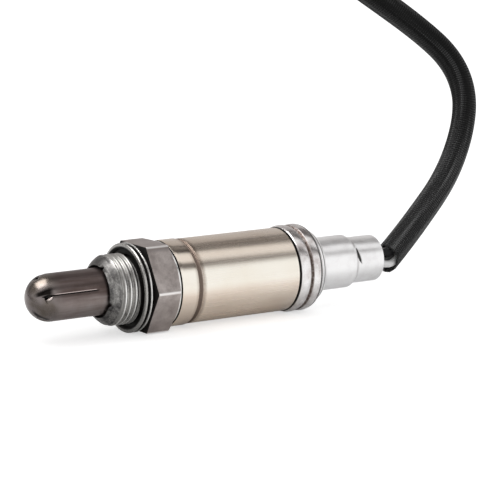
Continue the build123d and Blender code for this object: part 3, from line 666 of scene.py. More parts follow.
# ---- packing inside the shell
# Pressed talc seals the thimble, a steatite bush and a steel ring hold it down, and the shell's
# rear lip is rolled over them. The contact plates are stamped strip, clamped in the same stack.
pressed = Finish("talc")
flakes = pressed.place.pits(3600.0)
dust = pressed.place.noise(700.0, 5.0)
talc = pressed.surface(
    dust.ramp((0.35, (0.66, 0.67, 0.62)), (0.65, (0.78, 0.78, 0.74))),
    0.68 + flakes * 0.2,
    0.0,
    flakes + dust,
    0.00003,
)

steatite = simple_finish(
    "steatite",
    (0.74, 0.70, 0.60), (0.84, 0.80, 0.71),
    rough=(0.42, 0.24),
    grain=(2400.0, 5.0),
    tone=(230.0, 3.0),
    relief=0.00002,
)
contact_strip = simple_finish(
    "contact_strip",
    (0.58, 0.55, 0.48), (0.74, 0.71, 0.64),
    rough=(0.22, 0.22),
    grain=(2000.0, 3.0, (0.2, 1.0, 1.0)),
    tone=(600.0, 4.0),
    metallic=1.0,
)
refinish(talc, "talc_packing")
refinish(steatite, "packing_bush", "ceramic_insulator")
refinish(plain_stainless, "crimp_ring", "disc_spring")
refinish(contact_strip, "ground_contact", "signal_contact", "heater_contacts")

# ---- crush ring
# A ring of soft steel strip folded over on itself, which flattens between the hexagon and the
# exhaust boss to seal the joint. Its two rounded folds show, with a dark slit between them.
ring_bore = 8.55
ring_edge = 11.4
ring_thickness = 3.0
fold_end = 0.62
second_fold = 1.52
second_fold_end = 1.92
crush_ring = turned(
    "crush_ring",
    [
        (1.0, ring_bore, 0.1), (1.0, 9.95, 0.05), (0.45, 10.0, 0.15), (0.0, 10.45, 0.45),
        (0.10, ring_edge - 0.25, 0.35), (0.36, ring_edge, 0.2),
        (fold_end, ring_edge - 0.1, 0.2), (fold_end + 0.08, 10.3, 0.1),
        (second_fold - 0.08, 10.3, 0.1), (second_fold, ring_edge - 0.05, 0.12),
        (second_fold_end, ring_edge, 0.14), (second_fold_end + 0.1, 10.2, 0.1),
        (ring_thickness, 10.1, 0.1), (ring_thickness, ring_bore, 0.12),
    ],
)
folded = Finish("gasket_steel")
fold_marks = folded.place.noise(700.0, 4.0)
fold_rings = folded.turning().noise(3200.0, 3.0)
from_axis = folded.from_axis()
in_gap = folded.station.band(0.00060, 0.00068, 0.00148, 0.00156)
# Painted shade: the slit between the folds and the ring's inner face turn nearly black
painted_crevice_shade = from_axis.step(0.0109, 0.0103) | in_gap * from_axis.step(0.01130, 0.01105)
folded_colour = (fold_marks * 0.5 + fold_rings * 0.5).ramp(
    (0.36, (0.50, 0.49, 0.47)), (0.5, (0.68, 0.67, 0.65)), (0.64, (0.82, 0.81, 0.79))
)
# Painted shade: the ring's front face is darkened
seat = folded.station.step(0.00058, 0.00030)
gasket_steel = folded.surface(
    painted_crevice_shade.mix((seat * 0.7).mix(folded_colour, (0.30, 0.29, 0.275)), (0.012, 0.011, 0.010)),
    0.20 + fold_marks * 0.16 + painted_crevice_shade * 0.35,
    1.0 - painted_crevice_shade,
    fold_marks * 0.4 + fold_rings * 0.6,
    0.000008,
    Specular_IOR_Level=0.2,
)
place_on(crush_ring, gasket_steel, "gasket_steel", "sealing_ring")

# ---- protective sleeve
# The rear housing, a drawn stainless sleeve that heat has turned the colour of champagne. Its
# collar is rolled on to the shell's boss and laser-welded all round, which leaves a dark groove.
sleeve_start = 10.8
sleeve_radius = 10.9
sleeve_bore = 10.4
collar_radius = 11.1
groove_start = 15.7
groove_end = 17.0
groove_radius = 10.5
sleeve_shoulder = 46.42
neck_radius = 10.25
neck_end = 52.3
protective_sleeve = turned(
    "rear_sleeve",
    [
        (sleeve_start, sleeve_bore, 0.1), (sleeve_start, collar_radius - 0.1, 0.25),
        (sleeve_start + 0.9, collar_radius, 1.2), (groove_start, collar_radius, 0.4),
        (groove_start + 0.42, groove_radius, 0.2),
        (groove_start + 0.7, groove_radius + 0.16, 0.15),
        (groove_end - 0.45, groove_radius + 0.02, 0.2), (groove_end, sleeve_radius, 0.3),
        (sleeve_shoulder, sleeve_radius, 0.16), (sleeve_shoulder, neck_radius, 0.1),
        (neck_end, neck_radius, 0.15), (neck_end, neck_radius - 0.5, 0.1),
        (sleeve_shoulder - 0.5, neck_radius - 0.5, 0.1),
        (sleeve_shoulder - 0.5, sleeve_bore, 0.1),
    ],
    segments=240,
)
champagne = Finish("champagne_steel")
brushing = champagne.place.noise(1500.0, 4.0, stretch=(0.035, 1.0, 1.0))
broad_bands = champagne.place.noise(150.0, 2.0, stretch=(0.05, 1.0, 1.0))
skin = champagne.place.noise(2600.0, 5.0)
warm_clouds = champagne.place.noise(70.0, 3.0)
from_axis = champagne.from_axis()
in_weld = from_axis.step(0.01092, 0.01082) * champagne.station.band(0.0156, 0.0160, 0.0169, 0.0174)
on_neck = from_axis.step(0.01085, 0.0106) * champagne.station.step(0.0460, 0.0463)
shaded = on_neck | champagne.station.step(0.01098, 0.01088)
on_collar = champagne.station.step(0.0166, 0.0158)
beside_weld = champagne.station.band(0.0146, 0.0160, 0.0173, 0.0184)
facing = (champagne.around() * (180 / pi) - 12.0).maths("ABSOLUTE")
painted_reflection_side = facing.step(24.0, 8.0)
# Two golds: a painted reflection, a paler strip along the side that faces the camera, and deeper
# gold for the rest
base_gold = (broad_bands * 0.35 + warm_clouds * 0.45 + brushing * 0.2).ramp(
    (0.38, (0.74, 0.625, 0.525)), (0.5, (0.80, 0.695, 0.595)), (0.62, (0.85, 0.755, 0.655))
)
painted_reflection_gold = warm_clouds.ramp((0.38, (0.885, 0.825, 0.72)), (0.62, (0.92, 0.875, 0.79)))
sleeve_colour = painted_reflection_side.mix(base_gold, painted_reflection_gold)
tanned = (beside_weld * (skin * 0.6 + 0.35)).mix(sleeve_colour, (0.30, 0.225, 0.175))
welded = (in_weld * 0.92).mix(tanned, (0.19, 0.145, 0.12))
champagne_steel = champagne.surface(
    shaded.mix(welded, (0.010, 0.009, 0.008)),
    0.19 + brushing * 0.14 + in_weld * 0.34 - on_collar * 0.07 + on_neck * 0.4,
    1.0 - shaded,
    brushing * 0.7 + skin * 0.3,
    0.000010,
    Specular_IOR_Level=0.2,
)
place_on(protective_sleeve, champagne_steel, "champagne_steel", "protective_sleeve")

# ---- rear cap
# A bright drawn cap that closes the housing and grips the lead. It is rolled down on to the
# sleeve's neck in two round beads, and its tail is crimped in two steps round the rubber grommet.
cap_start = 46.9
cap_bead = 3.15
cap_gap = 0.45
cap_edge_radius = 10.91
cap_bead_radius = 11.4
cap_wall = 0.45
shoulder_end = 55.9
tail_start = 56.35
tail_radius = 7.05
tail_tip_radius = 6.15
tail_end = 77.0
cap_segments = 240


def bead(start, end, edge, top, steps=12):
    """A round bead rolled into a drawn wall, as outline corners."""
    shares = [0.5 - 0.5 * cos(pi * step / steps) for step in range(steps + 1)]
    heights = [sqrt(max(0.0, 1 - (2 * share - 1) ** 2)) for share in shares]
    return [
        (start + (end - start) * share, edge + (top - edge) * height, 0.0)
        for share, height in zip(shares, heights)
    ]


bead_two = cap_start + cap_bead + cap_gap
cap_shoulder = bead_two + cap_bead
cap_outline = rounded(
    [
        *bead(cap_start, cap_start + cap_bead, cap_edge_radius - 0.1, cap_bead_radius),
        (cap_start + cap_bead + cap_gap / 2, 10.55, 0.1),
        *bead(bead_two, cap_shoulder, cap_edge_radius - 0.1, cap_bead_radius),
        (cap_shoulder + 0.02, 10.58, 0.05), (54.9, 10.02, 0.3), (shoulder_end, 9.34, 0.12),
        (shoulder_end + 0.02, 9.1, 0.05), (tail_start - 0.1, 8.5, 0.2), (tail_start, 7.98, 0.1),
        (tail_start + 0.25, tail_radius, 0.15),
        *[(x, tail_radius, 0.0) for x in np.linspace(58.0, 66.4, 8)],
        (67.35, tail_radius, 0.45),
        *[(x, tail_radius - (x - 67.5) * 1.28, 0.0) for x in np.linspace(67.6, 68.05, 4)],
        (68.3, tail_tip_radius, 0.25),
        *[(x, tail_tip_radius, 0.0) for x in np.linspace(68.5, 70.4, 20)],
        (tail_end - 0.05, tail_tip_radius, 0.75), (tail_end, 5.5, 0.15),
        (tail_end - 0.5, 5.5, 0.1), (tail_end - 1.2, tail_tip_radius - cap_wall, 0.2),
        (67.3, tail_tip_radius - cap_wall, 0.2), (66.6, tail_radius - cap_wall, 0.2),
        (shoulder_end, tail_radius - cap_wall, 0.2), (shoulder_end, 8.65, 0.2),
        (52.4, 10.35, 0.1), (cap_start, 10.35, 0.1),
    ]
)
cap_points = spun(cap_outline, cap_segments)

# The crimp has left one fold at the foot of the tail's step: a shallow groove from the top, which
# opens into a dark wedge as it comes down and ends in a point
along, radius, angle = about_axis(cap_points)
on_tail = (radius > 5.9) & (along > 66.0)
turns = (0, 8, 18, 30, 42, 63, 80)
fold_line = np.interp(angle, turns, (69.6, 69.2, 68.95, 68.85, 68.85, 69.0, 69.05))
fold_width = np.interp(angle, turns, (0.06, 0.27, 0.40, 0.30, 0.15, 0.12, 0.1))
fold_depth = np.interp(angle, (-2, 1, 10, 38, 46, 66, 80), (0.0, 0.3, 0.7, 0.6, 0.06, 0.02, 0.0))
across_fold = np.abs(along - fold_line) / fold_width
dent = fold_depth * np.clip(1.5 - across_fold, 0, 1) * on_tail
cap_points[:, 1:] *= (1 - dent / np.maximum(radius, 0.1))[:, None]
rear_cap = shaped("tail_cap", cap_points, grid_faces(len(cap_outline), cap_segments))

bright = Finish("bright_stainless")
drawing = bright.place.noise(1100.0, 3.0, stretch=(0.05, 1.0, 1.0))
clouding = bright.place.noise(110.0, 3.0)
smudges = bright.place.noise(360.0, 4.0, roughness=0.6)
fine = bright.place.noise(3000.0, 4.0)
on_beads = bright.station.step(0.0545, 0.0535)
from_axis = bright.from_axis()
# Painted shade in the tail's fold, darkened nearly to black
crease = from_axis.step(0.0060, 0.0058) * bright.station.band(0.0679, 0.0681, 0.0702, 0.0706)
low = from_axis.step(0.01124, 0.01106)
between_beads = low * bright.station.band(0.0495, 0.0498, 0.0509, 0.0513)
# Painted shade along the cap's front edge, at the gap to the sleeve
gap_edge = from_axis.step(0.01108, 0.01096) * bright.station.step(0.0475, 0.0472)
# Painted shade on the cone at the foot of the tail's step
painted_step_shade = bright.station.band(0.06745, 0.0678, 0.0682, 0.0690)
# Two lines round the shoulder, rolled and swaged, are painted shade: dark rings with no depth
rolled_line_shade = bright.station.band(0.05262, 0.05284, 0.05318, 0.05344)
swaged_line_shade = bright.station.band(0.05462, 0.05478, 0.05506, 0.05524)
rust = bright.place.noise(1500.0, 5.0, roughness=0.7).step(0.38, 0.6)
tail_silver = (clouding * 0.35 + smudges * 0.5 + fine * 0.15).ramp(
    (0.40, (0.90, 0.885, 0.888)), (0.5, (0.97, 0.962, 0.964)), (0.58, (1.0, 0.995, 0.995))
)
bead_silver = (clouding * 0.4 + smudges * 0.6).ramp(
    (0.38, (0.60, 0.555, 0.545)), (0.5, (0.80, 0.775, 0.765)), (0.62, (0.92, 0.905, 0.90))
)
cap_colour = on_beads.mix(tail_silver, bead_silver)
rust_and_step_shade_colour = (between_beads * (0.7 + rust * 0.3)).mix(cap_colour, (0.15, 0.112, 0.095))
rust_and_step_shade_colour = (painted_step_shade * 0.7).mix(rust_and_step_shade_colour, (0.60, 0.585, 0.58))
# All of these marks are painted shade, darkened nearly to black
painted_crevice_shade = crease | gap_edge | rolled_line_shade * 0.9 | swaged_line_shade * 0.85
bright_stainless = bright.surface(
    painted_crevice_shade.mix(rust_and_step_shade_colour, (0.05, 0.047, 0.046)),
    0.25 + drawing * 0.08 + smudges * 0.06 - on_beads * 0.06 + between_beads * 0.3,
    0.80 + on_beads * 0.20 - painted_crevice_shade * 0.6,
    drawing * (1.0 - on_beads) * 0.4 + fine * 0.6,
    0.000006,
)
place_on(rear_cap, bright_stainless, "bright_stainless", "rear_cap")

# ---- grommet and vent filter
# The moulded rubber grommet seals the four wires in the crimped tail, and the ring of white
# filter membrane in front of it lets reference air in but keeps water out.
grommet_rubber = simple_finish(
    "grommet_rubber",
    (0.012, 0.012, 0.012), (0.024, 0.023, 0.023),
    rough=(0.62, 0.2),
    grain=(3000.0, 5.0),
    tone=(320.0, 3.0),
    relief=0.00002,
)
filter_membrane = simple_finish(
    "filter_membrane",
    (0.74, 0.74, 0.73), (0.86, 0.86, 0.85),
    rough=(0.75, 0.15),
    grain=(4200.0, 5.0, (1.0, 1.0, 1.0), 0.7),
    relief=0.00003,
)
refinish(grommet_rubber, "cable_grommet")
refinish(filter_membrane, "vent_filter")

# ---- lead: its line
# The lead leaves the tail, rises in a stiff arch over the sensor and comes down past the tip.
# Its line is one smooth curve, which keeps within 2 mm of the CAD model's lead.
lead_route = [
    (81.7, -0.3, -1.0), (85.2, 0.6, 1.3), (94.7, 4.2, 7.1), (110.0, 10.5, 17.0),
    (120.0, 16.0, 28.5), (124.5, 20.5, 39.0), (123.0, 25.0, 48.5), (115.0, 29.0, 57.0),
    (98.3, 32.0, 68.6), (80.0, 34.5, 80.5), (57.0, 36.5, 89.5), (33.0, 37.5, 94.5),
    (9.0, 38.0, 94.5), (-13.0, 38.5, 88.0), (-29.0, 39.0, 74.0), (-37.5, 39.5, 55.0),
    (-42.5, 40.0, 34.5), (-52.0, 40.5, 14.5), (-68.5, 41.5, -1.5), (-89.0, 42.0, -5.5),
    (-107.0, 42.0, -5.5),
]
lead_diameter = 6.8
lead_wall = 0.45
mouth_reach = 0.4
mouth_turn = 21.0
mouth_rise = 10.0
mouth_fade = 12.0


def smooth_line(name, route, step):
    """Evenly spaced points, in millimetres, along a smooth curve that a route's points control."""
    curve = bpy.data.curves.new(name, "CURVE")
    curve.dimensions = "3D"
    spline = curve.splines.new("NURBS")
    spline.points.add(len(route) - 1)
    for control, place in zip(spline.points, route):
        control.co = (*[value * MM for value in place], 1.0)
    spline.order_u = 3
    spline.use_endpoint_u = True
    spline.resolution_u = 24
    holder = added(name, curve)
    mesh = result_of(holder)
    points = np.array([vertex.co for vertex in mesh.vertices], float) / MM
    bpy.data.objects.remove(holder)
    bpy.data.meshes.remove(mesh)
    run = np.concatenate([[0.0], np.cumsum(np.linalg.norm(np.diff(points, axis=0), axis=1))])
    places = np.linspace(0, run[-1], max(2, round(run[-1] / step)))
    return np.column_stack([np.interp(places, run, points[:, axis]) for axis in range(3)])


def frames_along(line):
    """For each point of a line, its direction and two directions across it that never twist."""
    ahead = np.gradient(line, axis=0)
    ahead /= np.linalg.norm(ahead, axis=1)[:, None]
    side = np.array((0.0, -1.0, 0.0))
    sides = []
    for direction in ahead:
        side = side - direction * (side @ direction)
        side = side / np.linalg.norm(side)
        sides.append(side)
    sides = np.array(sides)
    return ahead, sides, np.cross(sides, ahead)


lead_line = smooth_line("lead_line", lead_route, 0.55)
lead_length = float(np.linalg.norm(np.diff(lead_line, axis=0), axis=1).sum())
ahead, sideways, upwards = frames_along(lead_line)
run = np.arange(len(lead_line)) * lead_length / (len(lead_line) - 1)

# ---- wires in the tail
# Four silicone-insulated wires leave the grommet: two white for the heater, a grey earth and a
# black signal wire. They pass into the open mouth of the lead's sleeve and turn up inside it.
wire_radius = 0.95
wire_pitch_radius = 2.2
wire_bundle = 1.35
wire_start = 52.1
wire_reach = 34.0
wire_sag = 0.8
wire_sides = 20
gather_start = 6.0
gather_step = 3.6
gather_length = 9.0


def wire(name, turn):
    """One wire: straight through the grommet, then gathered along the lead's line."""
    across, above = wire_pitch_radius * cos(radians(turn)), wire_pitch_radius * sin(radians(turn))
    points = [(wire_start, across, above), (66.0, across, above), (78.5, across, above)]
    points.append((83.2, across, above - wire_sag))
    for place in np.arange(gather_start, wire_reach, gather_step):
        row = int(np.searchsorted(run, place))
        gather = wire_bundle / wire_pitch_radius
        pull = 1 + (gather - 1) * min(1.0, place / gather_length)
        centre = lead_line[row]
        offset = -sideways[row] * across * pull + upwards[row] * above * pull
        points.append(tuple(centre + offset))
    line = smooth_line(name, points, 0.7)
    _, side, up = frames_along(line)
    swing = np.arange(wire_sides) * 2 * pi / wire_sides
    rings = (
        line[:, None, :]
        + wire_radius * np.cos(swing)[None, :, None] * side[:, None, :]
        + wire_radius * np.sin(swing)[None, :, None] * up[:, None, :]
    )
    faces = grid_faces(len(line), wire_sides, close_rows=False)
    last = (len(line) - 1) * wire_sides
    faces += [tuple(range(wire_sides)), tuple(range(last, last + wire_sides))]
    return rings.reshape(-1, 3), faces


def insulation(name, dark, pale, **constants):
    """Silicone rubber insulation: soft, slightly dusty, with faint lengthwise extrusion marks."""
    grain = (2200.0, 4.0, (0.2, 1.0, 1.0))
    return simple_finish(
        name, dark, pale, (0.40, 0.2), grain, tone=(500.0, 3.0), relief=0.000012, **constants
    )


white_insulation = insulation(
    "white_insulation",
    (0.94, 0.94, 0.935), (0.98, 0.98, 0.975),
    Sheen_Weight=1.0,
    Sheen_Roughness=0.5,
)
grey_insulation = insulation("grey_insulation", (0.20, 0.20, 0.20), (0.28, 0.28, 0.275))
black_insulation = insulation(
    "black_insulation", (0.005, 0.005, 0.005), (0.010, 0.010, 0.011), Specular_IOR_Level=0.2
)
heater_points, heater_faces = wire("heater_line", 45.0)
other_points, other_faces = wire("heater_line", 225.0)
heater_faces += [tuple(len(heater_points) + index for index in face) for face in other_faces]
heater_wires = shaped("white_wires", np.concatenate([heater_points, other_points]), heater_faces)
place_on(heater_wires, white_insulation, "white_insulation", "heater_wires")
signal_wire = shaped("black_wire", *wire("signal_line", 135.0))
place_on(signal_wire, black_insulation, "black_insulation", "signal_wire")
ground_wire = shaped("grey_wire", *wire("ground_line", 315.0))
place_on(ground_wire, grey_insulation, "grey_insulation", "ground_wire")

# ---- woven sleeve of the lead
# A black woven sleeve, slid over the four wires. Its cut end slants across it beside the tail, and
# shallow creases run all along it.
sleeve_sides = 60
swing = np.arange(sleeve_sides) * 2 * pi / sleeve_sides
waves = (
    0.045 * np.sin(3 * swing + 0.9 + run[:, None] / 23)
    + 0.035 * np.sin(5 * swing - run[:, None] / 17)
    + 0.025 * np.sin(8 * swing + 1.7 + run[:, None] / 31)
)
swell_places = (0, 12, 30, 55, 80, 105, 130)
swell = np.interp(run, swell_places, (1.05, 1.02, 0.985, 0.975, 1.03, 1.04, 1.0))
ring_radius = (lead_diameter / 2) * swell[:, None] * (1 + waves * 0.8)
tube = (
    lead_line[:, None, :]
    + (ring_radius * np.cos(swing))[..., None] * sideways[:, None, :]
    + (ring_radius * np.sin(swing))[..., None] * upwards[:, None, :]
)
# The mouth: the first rings are slid along the lead until they lie in the plane of the cut
slide_share = np.clip(1 - run / mouth_fade, 0, 1)
ragged = 0.12 * np.sin(swing * 17) + 0.08 * np.sin(swing * 29 + 1.0)
turn, rise = radians(mouth_turn), radians(mouth_rise)
cut_normal = np.array((cos(turn) * cos(rise), sin(turn) * cos(rise), sin(rise)))
cut_place = lead_line[0] + ahead[0] * mouth_reach
slide = ((cut_place - tube[0]) @ cut_normal) / (ahead[0] @ cut_normal) + ragged
tube = tube + (slide * slide_share[:, None])[..., None] * ahead[:, None, :]
woven_sleeve = shaped(
    "lead_sleeve",
    tube.reshape(-1, 3),
    grid_faces(len(lead_line), sleeve_sides, close_rows=False),
    sharp=180.0,
)
weave_map = woven_sleeve.data.uv_layers.new(name="weave")
corner_points = np.array([loop.vertex_index for loop in woven_sleeve.data.loops])
turn_share = (corner_points % sleeve_sides) / sleeve_sides
length_along = run[corner_points // sleeve_sides]
for polygon in woven_sleeve.data.polygons:
    loops = list(polygon.loop_indices)
    if turn_share[loops].max() - turn_share[loops].min() > 0.5:
        for index in loops:
            if turn_share[index] < 0.5:
                turn_share[index] += 1.0
weave_map.data.foreach_set("uv", np.column_stack([turn_share, length_along * MM]).ravel())
hollow(woven_sleeve, lead_wall)

rib_pitch = 0.00072
warp_count = 46
woven = Finish("woven_sleeve", "UV")
turn_share, length_along = woven.station, woven.across
wander = woven.place.noise(1.0, 2.0, (6.0, 260.0, 1.0), 0.5)
rib_wave = (length_along * (2 * pi / rib_pitch) + wander * 2.0).maths("SINE")
warp_wave = (turn_share * (2 * pi * warp_count)).maths("SINE")
over_under = rib_wave * warp_wave
yarn = rib_wave * 0.5 + over_under * 0.35 + warp_wave * 0.15
long_streaks = woven.place.noise(1.0, 3.0, (13.0, 22.0, 1.0), 0.5)
fuzz = woven.place.noise(1.0, 4.0, (90.0, 4200.0, 1.0), 0.5)
streaks = long_streaks.step(0.42, 0.66)
# Painted light: the sleeve is painted paler near its cut mouth
painted_mouth_light = length_along.step(0.075, 0.030)
yarn_light = (yarn * 0.5 + 0.5) * 0.55 + fuzz * 0.40 + streaks * 0.40 - 0.26
yarn_light = yarn_light + painted_mouth_light * (fuzz * 2.0 - 0.74)
woven_material = woven.surface(
    yarn_light.ramp(
        (0.1, (0.001, 0.001, 0.001)), (0.45, (0.005, 0.005, 0.005)),
        (0.8, (0.052, 0.052, 0.053)), (0.98, (0.16, 0.16, 0.16)),
    ),
    0.50 + yarn * 0.12,
    0.0,
    yarn * 0.7 + fuzz * 0.3 + long_streaks * 1.2,
    0.00011,
    Sheen_Weight=0.10,
    Sheen_Roughness=0.3,
    Specular_IOR_Level=0.12,
)
place_on(woven_sleeve, woven_material, "woven_sleeve", "cable_sleeve")

# Frayed yarn ends stand along the cut mouth: short fibres set along its edge by a node tree
fray_sizes = {"Length": 0.55 * MM, "Thickness": 0.07 * MM}
fray_tree, size = empty_tree("fray", fray_sizes)
edge = size["Geometry"]
fibre = edge.node(
    "GeometryNodeMeshCone",
    {},
    {
        "Vertices": 5,
        "Radius Top": size["Thickness"] * 0.3,
        "Radius Bottom": size["Thickness"],
        "Depth": size["Length"],
    },
)
lean = edge.node(
    "FunctionNodeRandomValue",
    {"data_type": "FLOAT_VECTOR"},
    {0: (-0.9, -0.9, -0.9), 1: (0.9, 0.9, 0.9), "Seed": 7},
)
scale = edge.node("FunctionNodeRandomValue", {"data_type": "FLOAT"}, {2: 0.5, 3: 1.3, "Seed": 3}, 1)
turned_back = lean.node(
    "ShaderNodeVectorMath", {"operation": "ADD"}, {0: lean, 1: (0.0, -pi / 2, 0.0)}
)
planted = edge.node(
    "GeometryNodeInstanceOnPoints",
    {},
    {"Points": edge, "Instance": fibre, "Rotation": turned_back, "Scale": scale},
)
finish_tree(planted, size["Finish"])

rim = tube[0]
rim_points = []
for index in range(sleeve_sides):
    for share in (0.0, 0.33, 0.66):
        between = rim[index] * (1 - share) + rim[(index + 1) % sleeve_sides] * share
        inset = 0.2 * (between - rim.mean(axis=0)) / np.linalg.norm(between - rim.mean(axis=0))
        rim_points.append(between - inset)
fray = shaped("frayed_edge", rim_points, [])
loose_yarn = simple_finish(
    "loose_yarn", (0.010, 0.010, 0.010), (0.05, 0.05, 0.05), (0.6, 0.2), (2600.0, 3.0)
)
grown(fray, fray_tree, fray_sizes, loose_yarn)
place_on(fray, loose_yarn, "woven_sleeve")

# ---- band at the sleeve's far end
# Heat-shrink tube that stops the weave from fraying. It has drawn down on to the sleeve, so both
# of its ends are soft and it follows the lead's own line.
band_length = 8.0
band_radius = 4.0
end_x, end_y, end_z = lead_route[-1]
band_overlap = 6.0
lead_radius = lead_diameter / 2
band_outline = rounded(
    [
        (end_x + band_overlap, lead_radius + 0.1, 0.05),
        (end_x + band_overlap, band_radius - 0.12, 0.2),
        (end_x + band_overlap - 0.8, band_radius, 0.4), (end_x + 0.4, band_radius, 0.4),
        (end_x - 0.6, band_radius - 0.35, 0.5),
        (end_x + band_overlap - band_length, band_radius - 0.7, 0.2),
        (end_x + band_overlap - band_length, lead_radius - 0.35, 0.1),
        (end_x - 0.2, lead_radius + 0.1, 0.1),
    ]
)
band_points = spun(band_outline, 96) + np.array((0.0, end_y, end_z))
end_band = shaped("end_band", band_points, grid_faces(len(band_outline), 96))
shrunk = Finish("shrink_band")
wrinkles = shrunk.place.noise(700.0, 4.0, stretch=(2.5, 1.0, 1.0))
shrink_grain = shrunk.place.noise(2600.0, 3.0)
shrink_band = shrunk.surface(
    wrinkles.ramp((0.35, (0.012, 0.012, 0.012)), (0.65, (0.024, 0.024, 0.025))),
    0.34 + shrink_grain * 0.2,
    0.0,
    wrinkles * 0.7 + shrink_grain * 0.3,
    0.00004,
)
place_on(end_band, shrink_band, "shrink_band", "sleeve_end_band")

# ---- connector
# The plug that joins the vehicle's loom: a glass-filled nylon housing with a latch ramp and two
# keying ribs, an orange wire seal in its rear, a white terminal lock and four tinned pins.
plug_edge_round = 0.25


def softened(name, node, width):
    """A copy of a CAD piece, joined up, with its hard edges rounded."""
    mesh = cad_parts[node].data.copy()
    mesh.name = name
    build = bmesh.new()
    build.from_mesh(mesh)
    bmesh.ops.remove_doubles(build, verts=build.verts, dist=1e-6)
    bmesh.ops.dissolve_limit(build, angle_limit=radians(2), verts=build.verts, edges=build.edges)
    build.to_mesh(mesh)
    build.free()
    mesh.shade_smooth()
    mesh.set_sharp_from_angle(angle=radians(30))
    piece = added(name, mesh)
    edge = piece.modifiers.new("edges", "BEVEL")
    edge.width = width * MM
    edge.segments = 2
    edge.limit_method = "ANGLE"
    edge.angle_limit = radians(35)
    edge.use_clamp_overlap = True
    edge.harden_normals = True
    return piece


plug_plastic = simple_finish(
    "plug_plastic",
    (0.020, 0.020, 0.021), (0.034, 0.034, 0.035),
    rough=(0.42, 0.18),
    grain=(3600.0, 5.0),
    tone=(200.0, 3.0, (0.4, 1.0, 1.0)),
    relief=0.00002,
)
housing = softened("plug_housing", "connector_housing", plug_edge_round)
place_on(housing, plug_plastic, "plug_plastic", "connector_housing")

seal_rubber = simple_finish(
    "seal_rubber",
    (0.42, 0.11, 0.035), (0.55, 0.16, 0.055),
    rough=(0.46, 0.2),
    grain=(1800.0, 4.0),
    relief=0.00002,
)
lock_plastic = simple_finish(
    "lock_plastic", (0.62, 0.61, 0.57), (0.74, 0.73, 0.69), (0.40, 0.18), (2400.0, 4.0)
)
tinned_contact = simple_finish(
    "tinned_contact",
    (0.62, 0.61, 0.58), (0.80, 0.79, 0.77),
    rough=(0.20, 0.2),
    grain=(1600.0, 4.0, (0.2, 1.0, 1.0)),
    metallic=1.0,
)
refinish(seal_rubber, "wire_seal")
refinish(lock_plastic, "terminal_lock")
refinish(tinned_contact, "terminal_pins")
refinish(black_insulation, "connector_wires")

# ---- studio: floor, tent and lamps
# The sensor lies on a white sheet under a soft overhead lamp. Only reflections see the tent and the
# card that stand round it: their levels are set for the long bands on polished metal. The
# sheet also glows, for the camera and more weakly in reflections.
floor_level = -11.4
sheet_half = 2.0
tent_radius = 0.55
tent_ends = (-0.9, 1.3)
key_direction = Vector((-0.42, 0.24, 0.87))
key_distance = 0.62
card_distance = 0.5
key_size = 0.30
key_level = 0.40
card_level = 8.0
card_size = 0.34
sky_level = 0.72
sheet_glow = 0.57



def panel(name, points, faces, material, only_mirrored=True):
    """A sheet of the studio, in metres; unless told otherwise it shows only in reflections."""
    mesh = bpy.data.meshes.new(name)
    mesh.from_pydata(points, [], faces)
    mesh.materials.append(material)
    sheet = added(name, mesh)
    for use in ("camera", "diffuse", "shadow", "transmission") if only_mirrored else ():
        setattr(sheet, "visible_" + use, False)


def shining(finish, colour, strength):
    """Ends a material that only gives light."""
    light = finish.place.node("ShaderNodeEmission", {}, {"Color": colour, "Strength": strength})
    finish.place.node("ShaderNodeOutputMaterial", {}, {"Surface": light})
    return finish.material


def ray_kinds(tree):
    """1 on rays from the camera, 1 on mirrored rays, and 1 on either of them or through glass."""
    rays = tree.nodes.new("ShaderNodeLightPath")
    kinds = ("Is Camera Ray", "Is Glossy Ray", "Is Transmission Ray")
    seen, mirrored, through = (Signal(tree, rays.outputs[kind]) for kind in kinds)
    return seen, mirrored, seen | mirrored | through


square = ((-1, -1), (1, -1), (1, 1), (-1, 1))
sheet = Finish("studio_sheet")
_, mirrored, background = ray_kinds(sheet.place.tree)
matt = sheet.place.node("ShaderNodeBsdfDiffuse", {}, {"Color": (0.80, 0.80, 0.80)})
# In reflections the sheet's glow drops beside the sensor: painted shade on the mirrored floor
beside = sheet.across.maths("ABSOLUTE").step(0.005, 0.032)
strength = (background - mirrored) * sheet_glow + mirrored * (beside * 0.34 + 0.06)
glow = sheet.place.node("ShaderNodeEmission", {}, {"Color": (1.0, 1.0, 1.0), "Strength": strength})
both = sheet.place.node("ShaderNodeAddShader", {}, {0: matt, 1: glow})
sheet.place.node("ShaderNodeOutputMaterial", {}, {"Surface": both})
floor_points = [(x * sheet_half, y * sheet_half, floor_level * MM) for x, y in square]
panel("studio_floor", floor_points, [(0, 1, 2, 3)], sheet.material, only_mirrored=False)

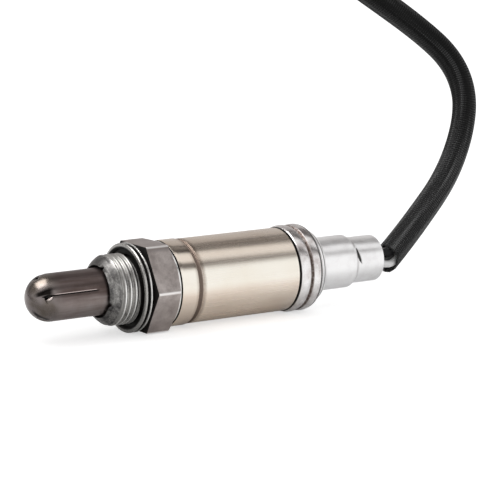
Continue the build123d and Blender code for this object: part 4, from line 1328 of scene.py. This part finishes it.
# The tent is only ever seen in reflections; its bands run along the sensor
tent_steps = 96
tent_points = []
for step in range(tent_steps + 1):
    turn = radians(-8 + 188 * step / tent_steps)
    for end in tent_ends:
        tent_points.append((end, -tent_radius * cos(turn), tent_radius * sin(turn)))
tent_faces = [(2 * step, 2 * step + 1, 2 * step + 3, 2 * step + 2) for step in range(tent_steps)]
cloth = Finish("tent_cloth")
bands = (cloth.around() / pi + 0.06) / 1.2
glow_at = [
    *((-8, 0.98), (39, 1.02), (45, 0.14), (56, 0.10), (62, 0.93), (87, 0.96), (92, 0.10)),
    *((100, 0.07), (107, 0.20), (114, 0.32), (126, 0.50), (145, 0.57), (180, 0.60)),
]
stops = [
    ((turn / 180 + 0.06) / 1.2, (level, level * (0.93 + 0.07 * level), level * (0.9 + 0.1 * level)))
    for turn, level in glow_at
]
panel("studio_tent", tent_points, tent_faces, shining(cloth, bands.ramp(*stops), 1.0))

key_lamp = bpy.data.lights.new("key_softbox", "AREA")
key_lamp.shape = "SQUARE"
key_lamp.size = key_size
key_lamp.energy = key_level * pi * pi * key_size**2
key = added("key_softbox", key_lamp)
key.location = key_direction.normalized() * key_distance
key.rotation_euler = key_direction.to_track_quat("Z", "Y").to_euler()
key.visible_glossy = False

# What polished steel mirrors of the overhead lamp: a bright square card
key_turn = key_direction.to_track_quat("Z", "Y")
card_points = [
    key_direction.normalized() * card_distance + key_turn @ Vector((x, y, 0.0)) * card_size / 2
    for x, y in square
]
card_glow = shining(Finish("card_cloth"), (1.0, 1.0, 1.0), card_level)
panel("studio_card", card_points, [(0, 1, 2, 3)], card_glow)

world = bpy.data.worlds.new("studio_world")
bpy.context.scene.world = world
world.use_nodes = True
world.node_tree.nodes.clear()
seen, _, background = ray_kinds(world.node_tree)
level = background * (1.0 - sky_level) + sky_level
sky = seen.node("ShaderNodeBackground", {}, {"Color": (1.0, 1.0, 1.0), "Strength": level})
seen.node("ShaderNodeOutputWorld", {}, {"Surface": sky})

# ---- camera
# It stands to the left of the sensor and a little above it, and looks across the hexagon.
camera_place = Vector((-0.29999, -0.51381, 0.11764))
camera_direction = Vector((0.540861, 0.821905, -0.178724))
camera_roll = -0.045
camera_lens = 173.8
camera_data = bpy.data.cameras.new("camera")
camera_data.lens = camera_lens
camera_data.sensor_width = 36.0
camera_data.clip_end = 20.0
camera = added("camera", camera_data)
roll = Matrix.Rotation(radians(camera_roll), 3, "Z")
look = camera_direction.to_track_quat("-Z", "Y").to_matrix() @ roll
camera.matrix_world = Matrix.Translation(camera_place) @ look.to_4x4()
bpy.context.scene.camera = camera
bpy.context.scene.view_settings.view_transform = "Standard"
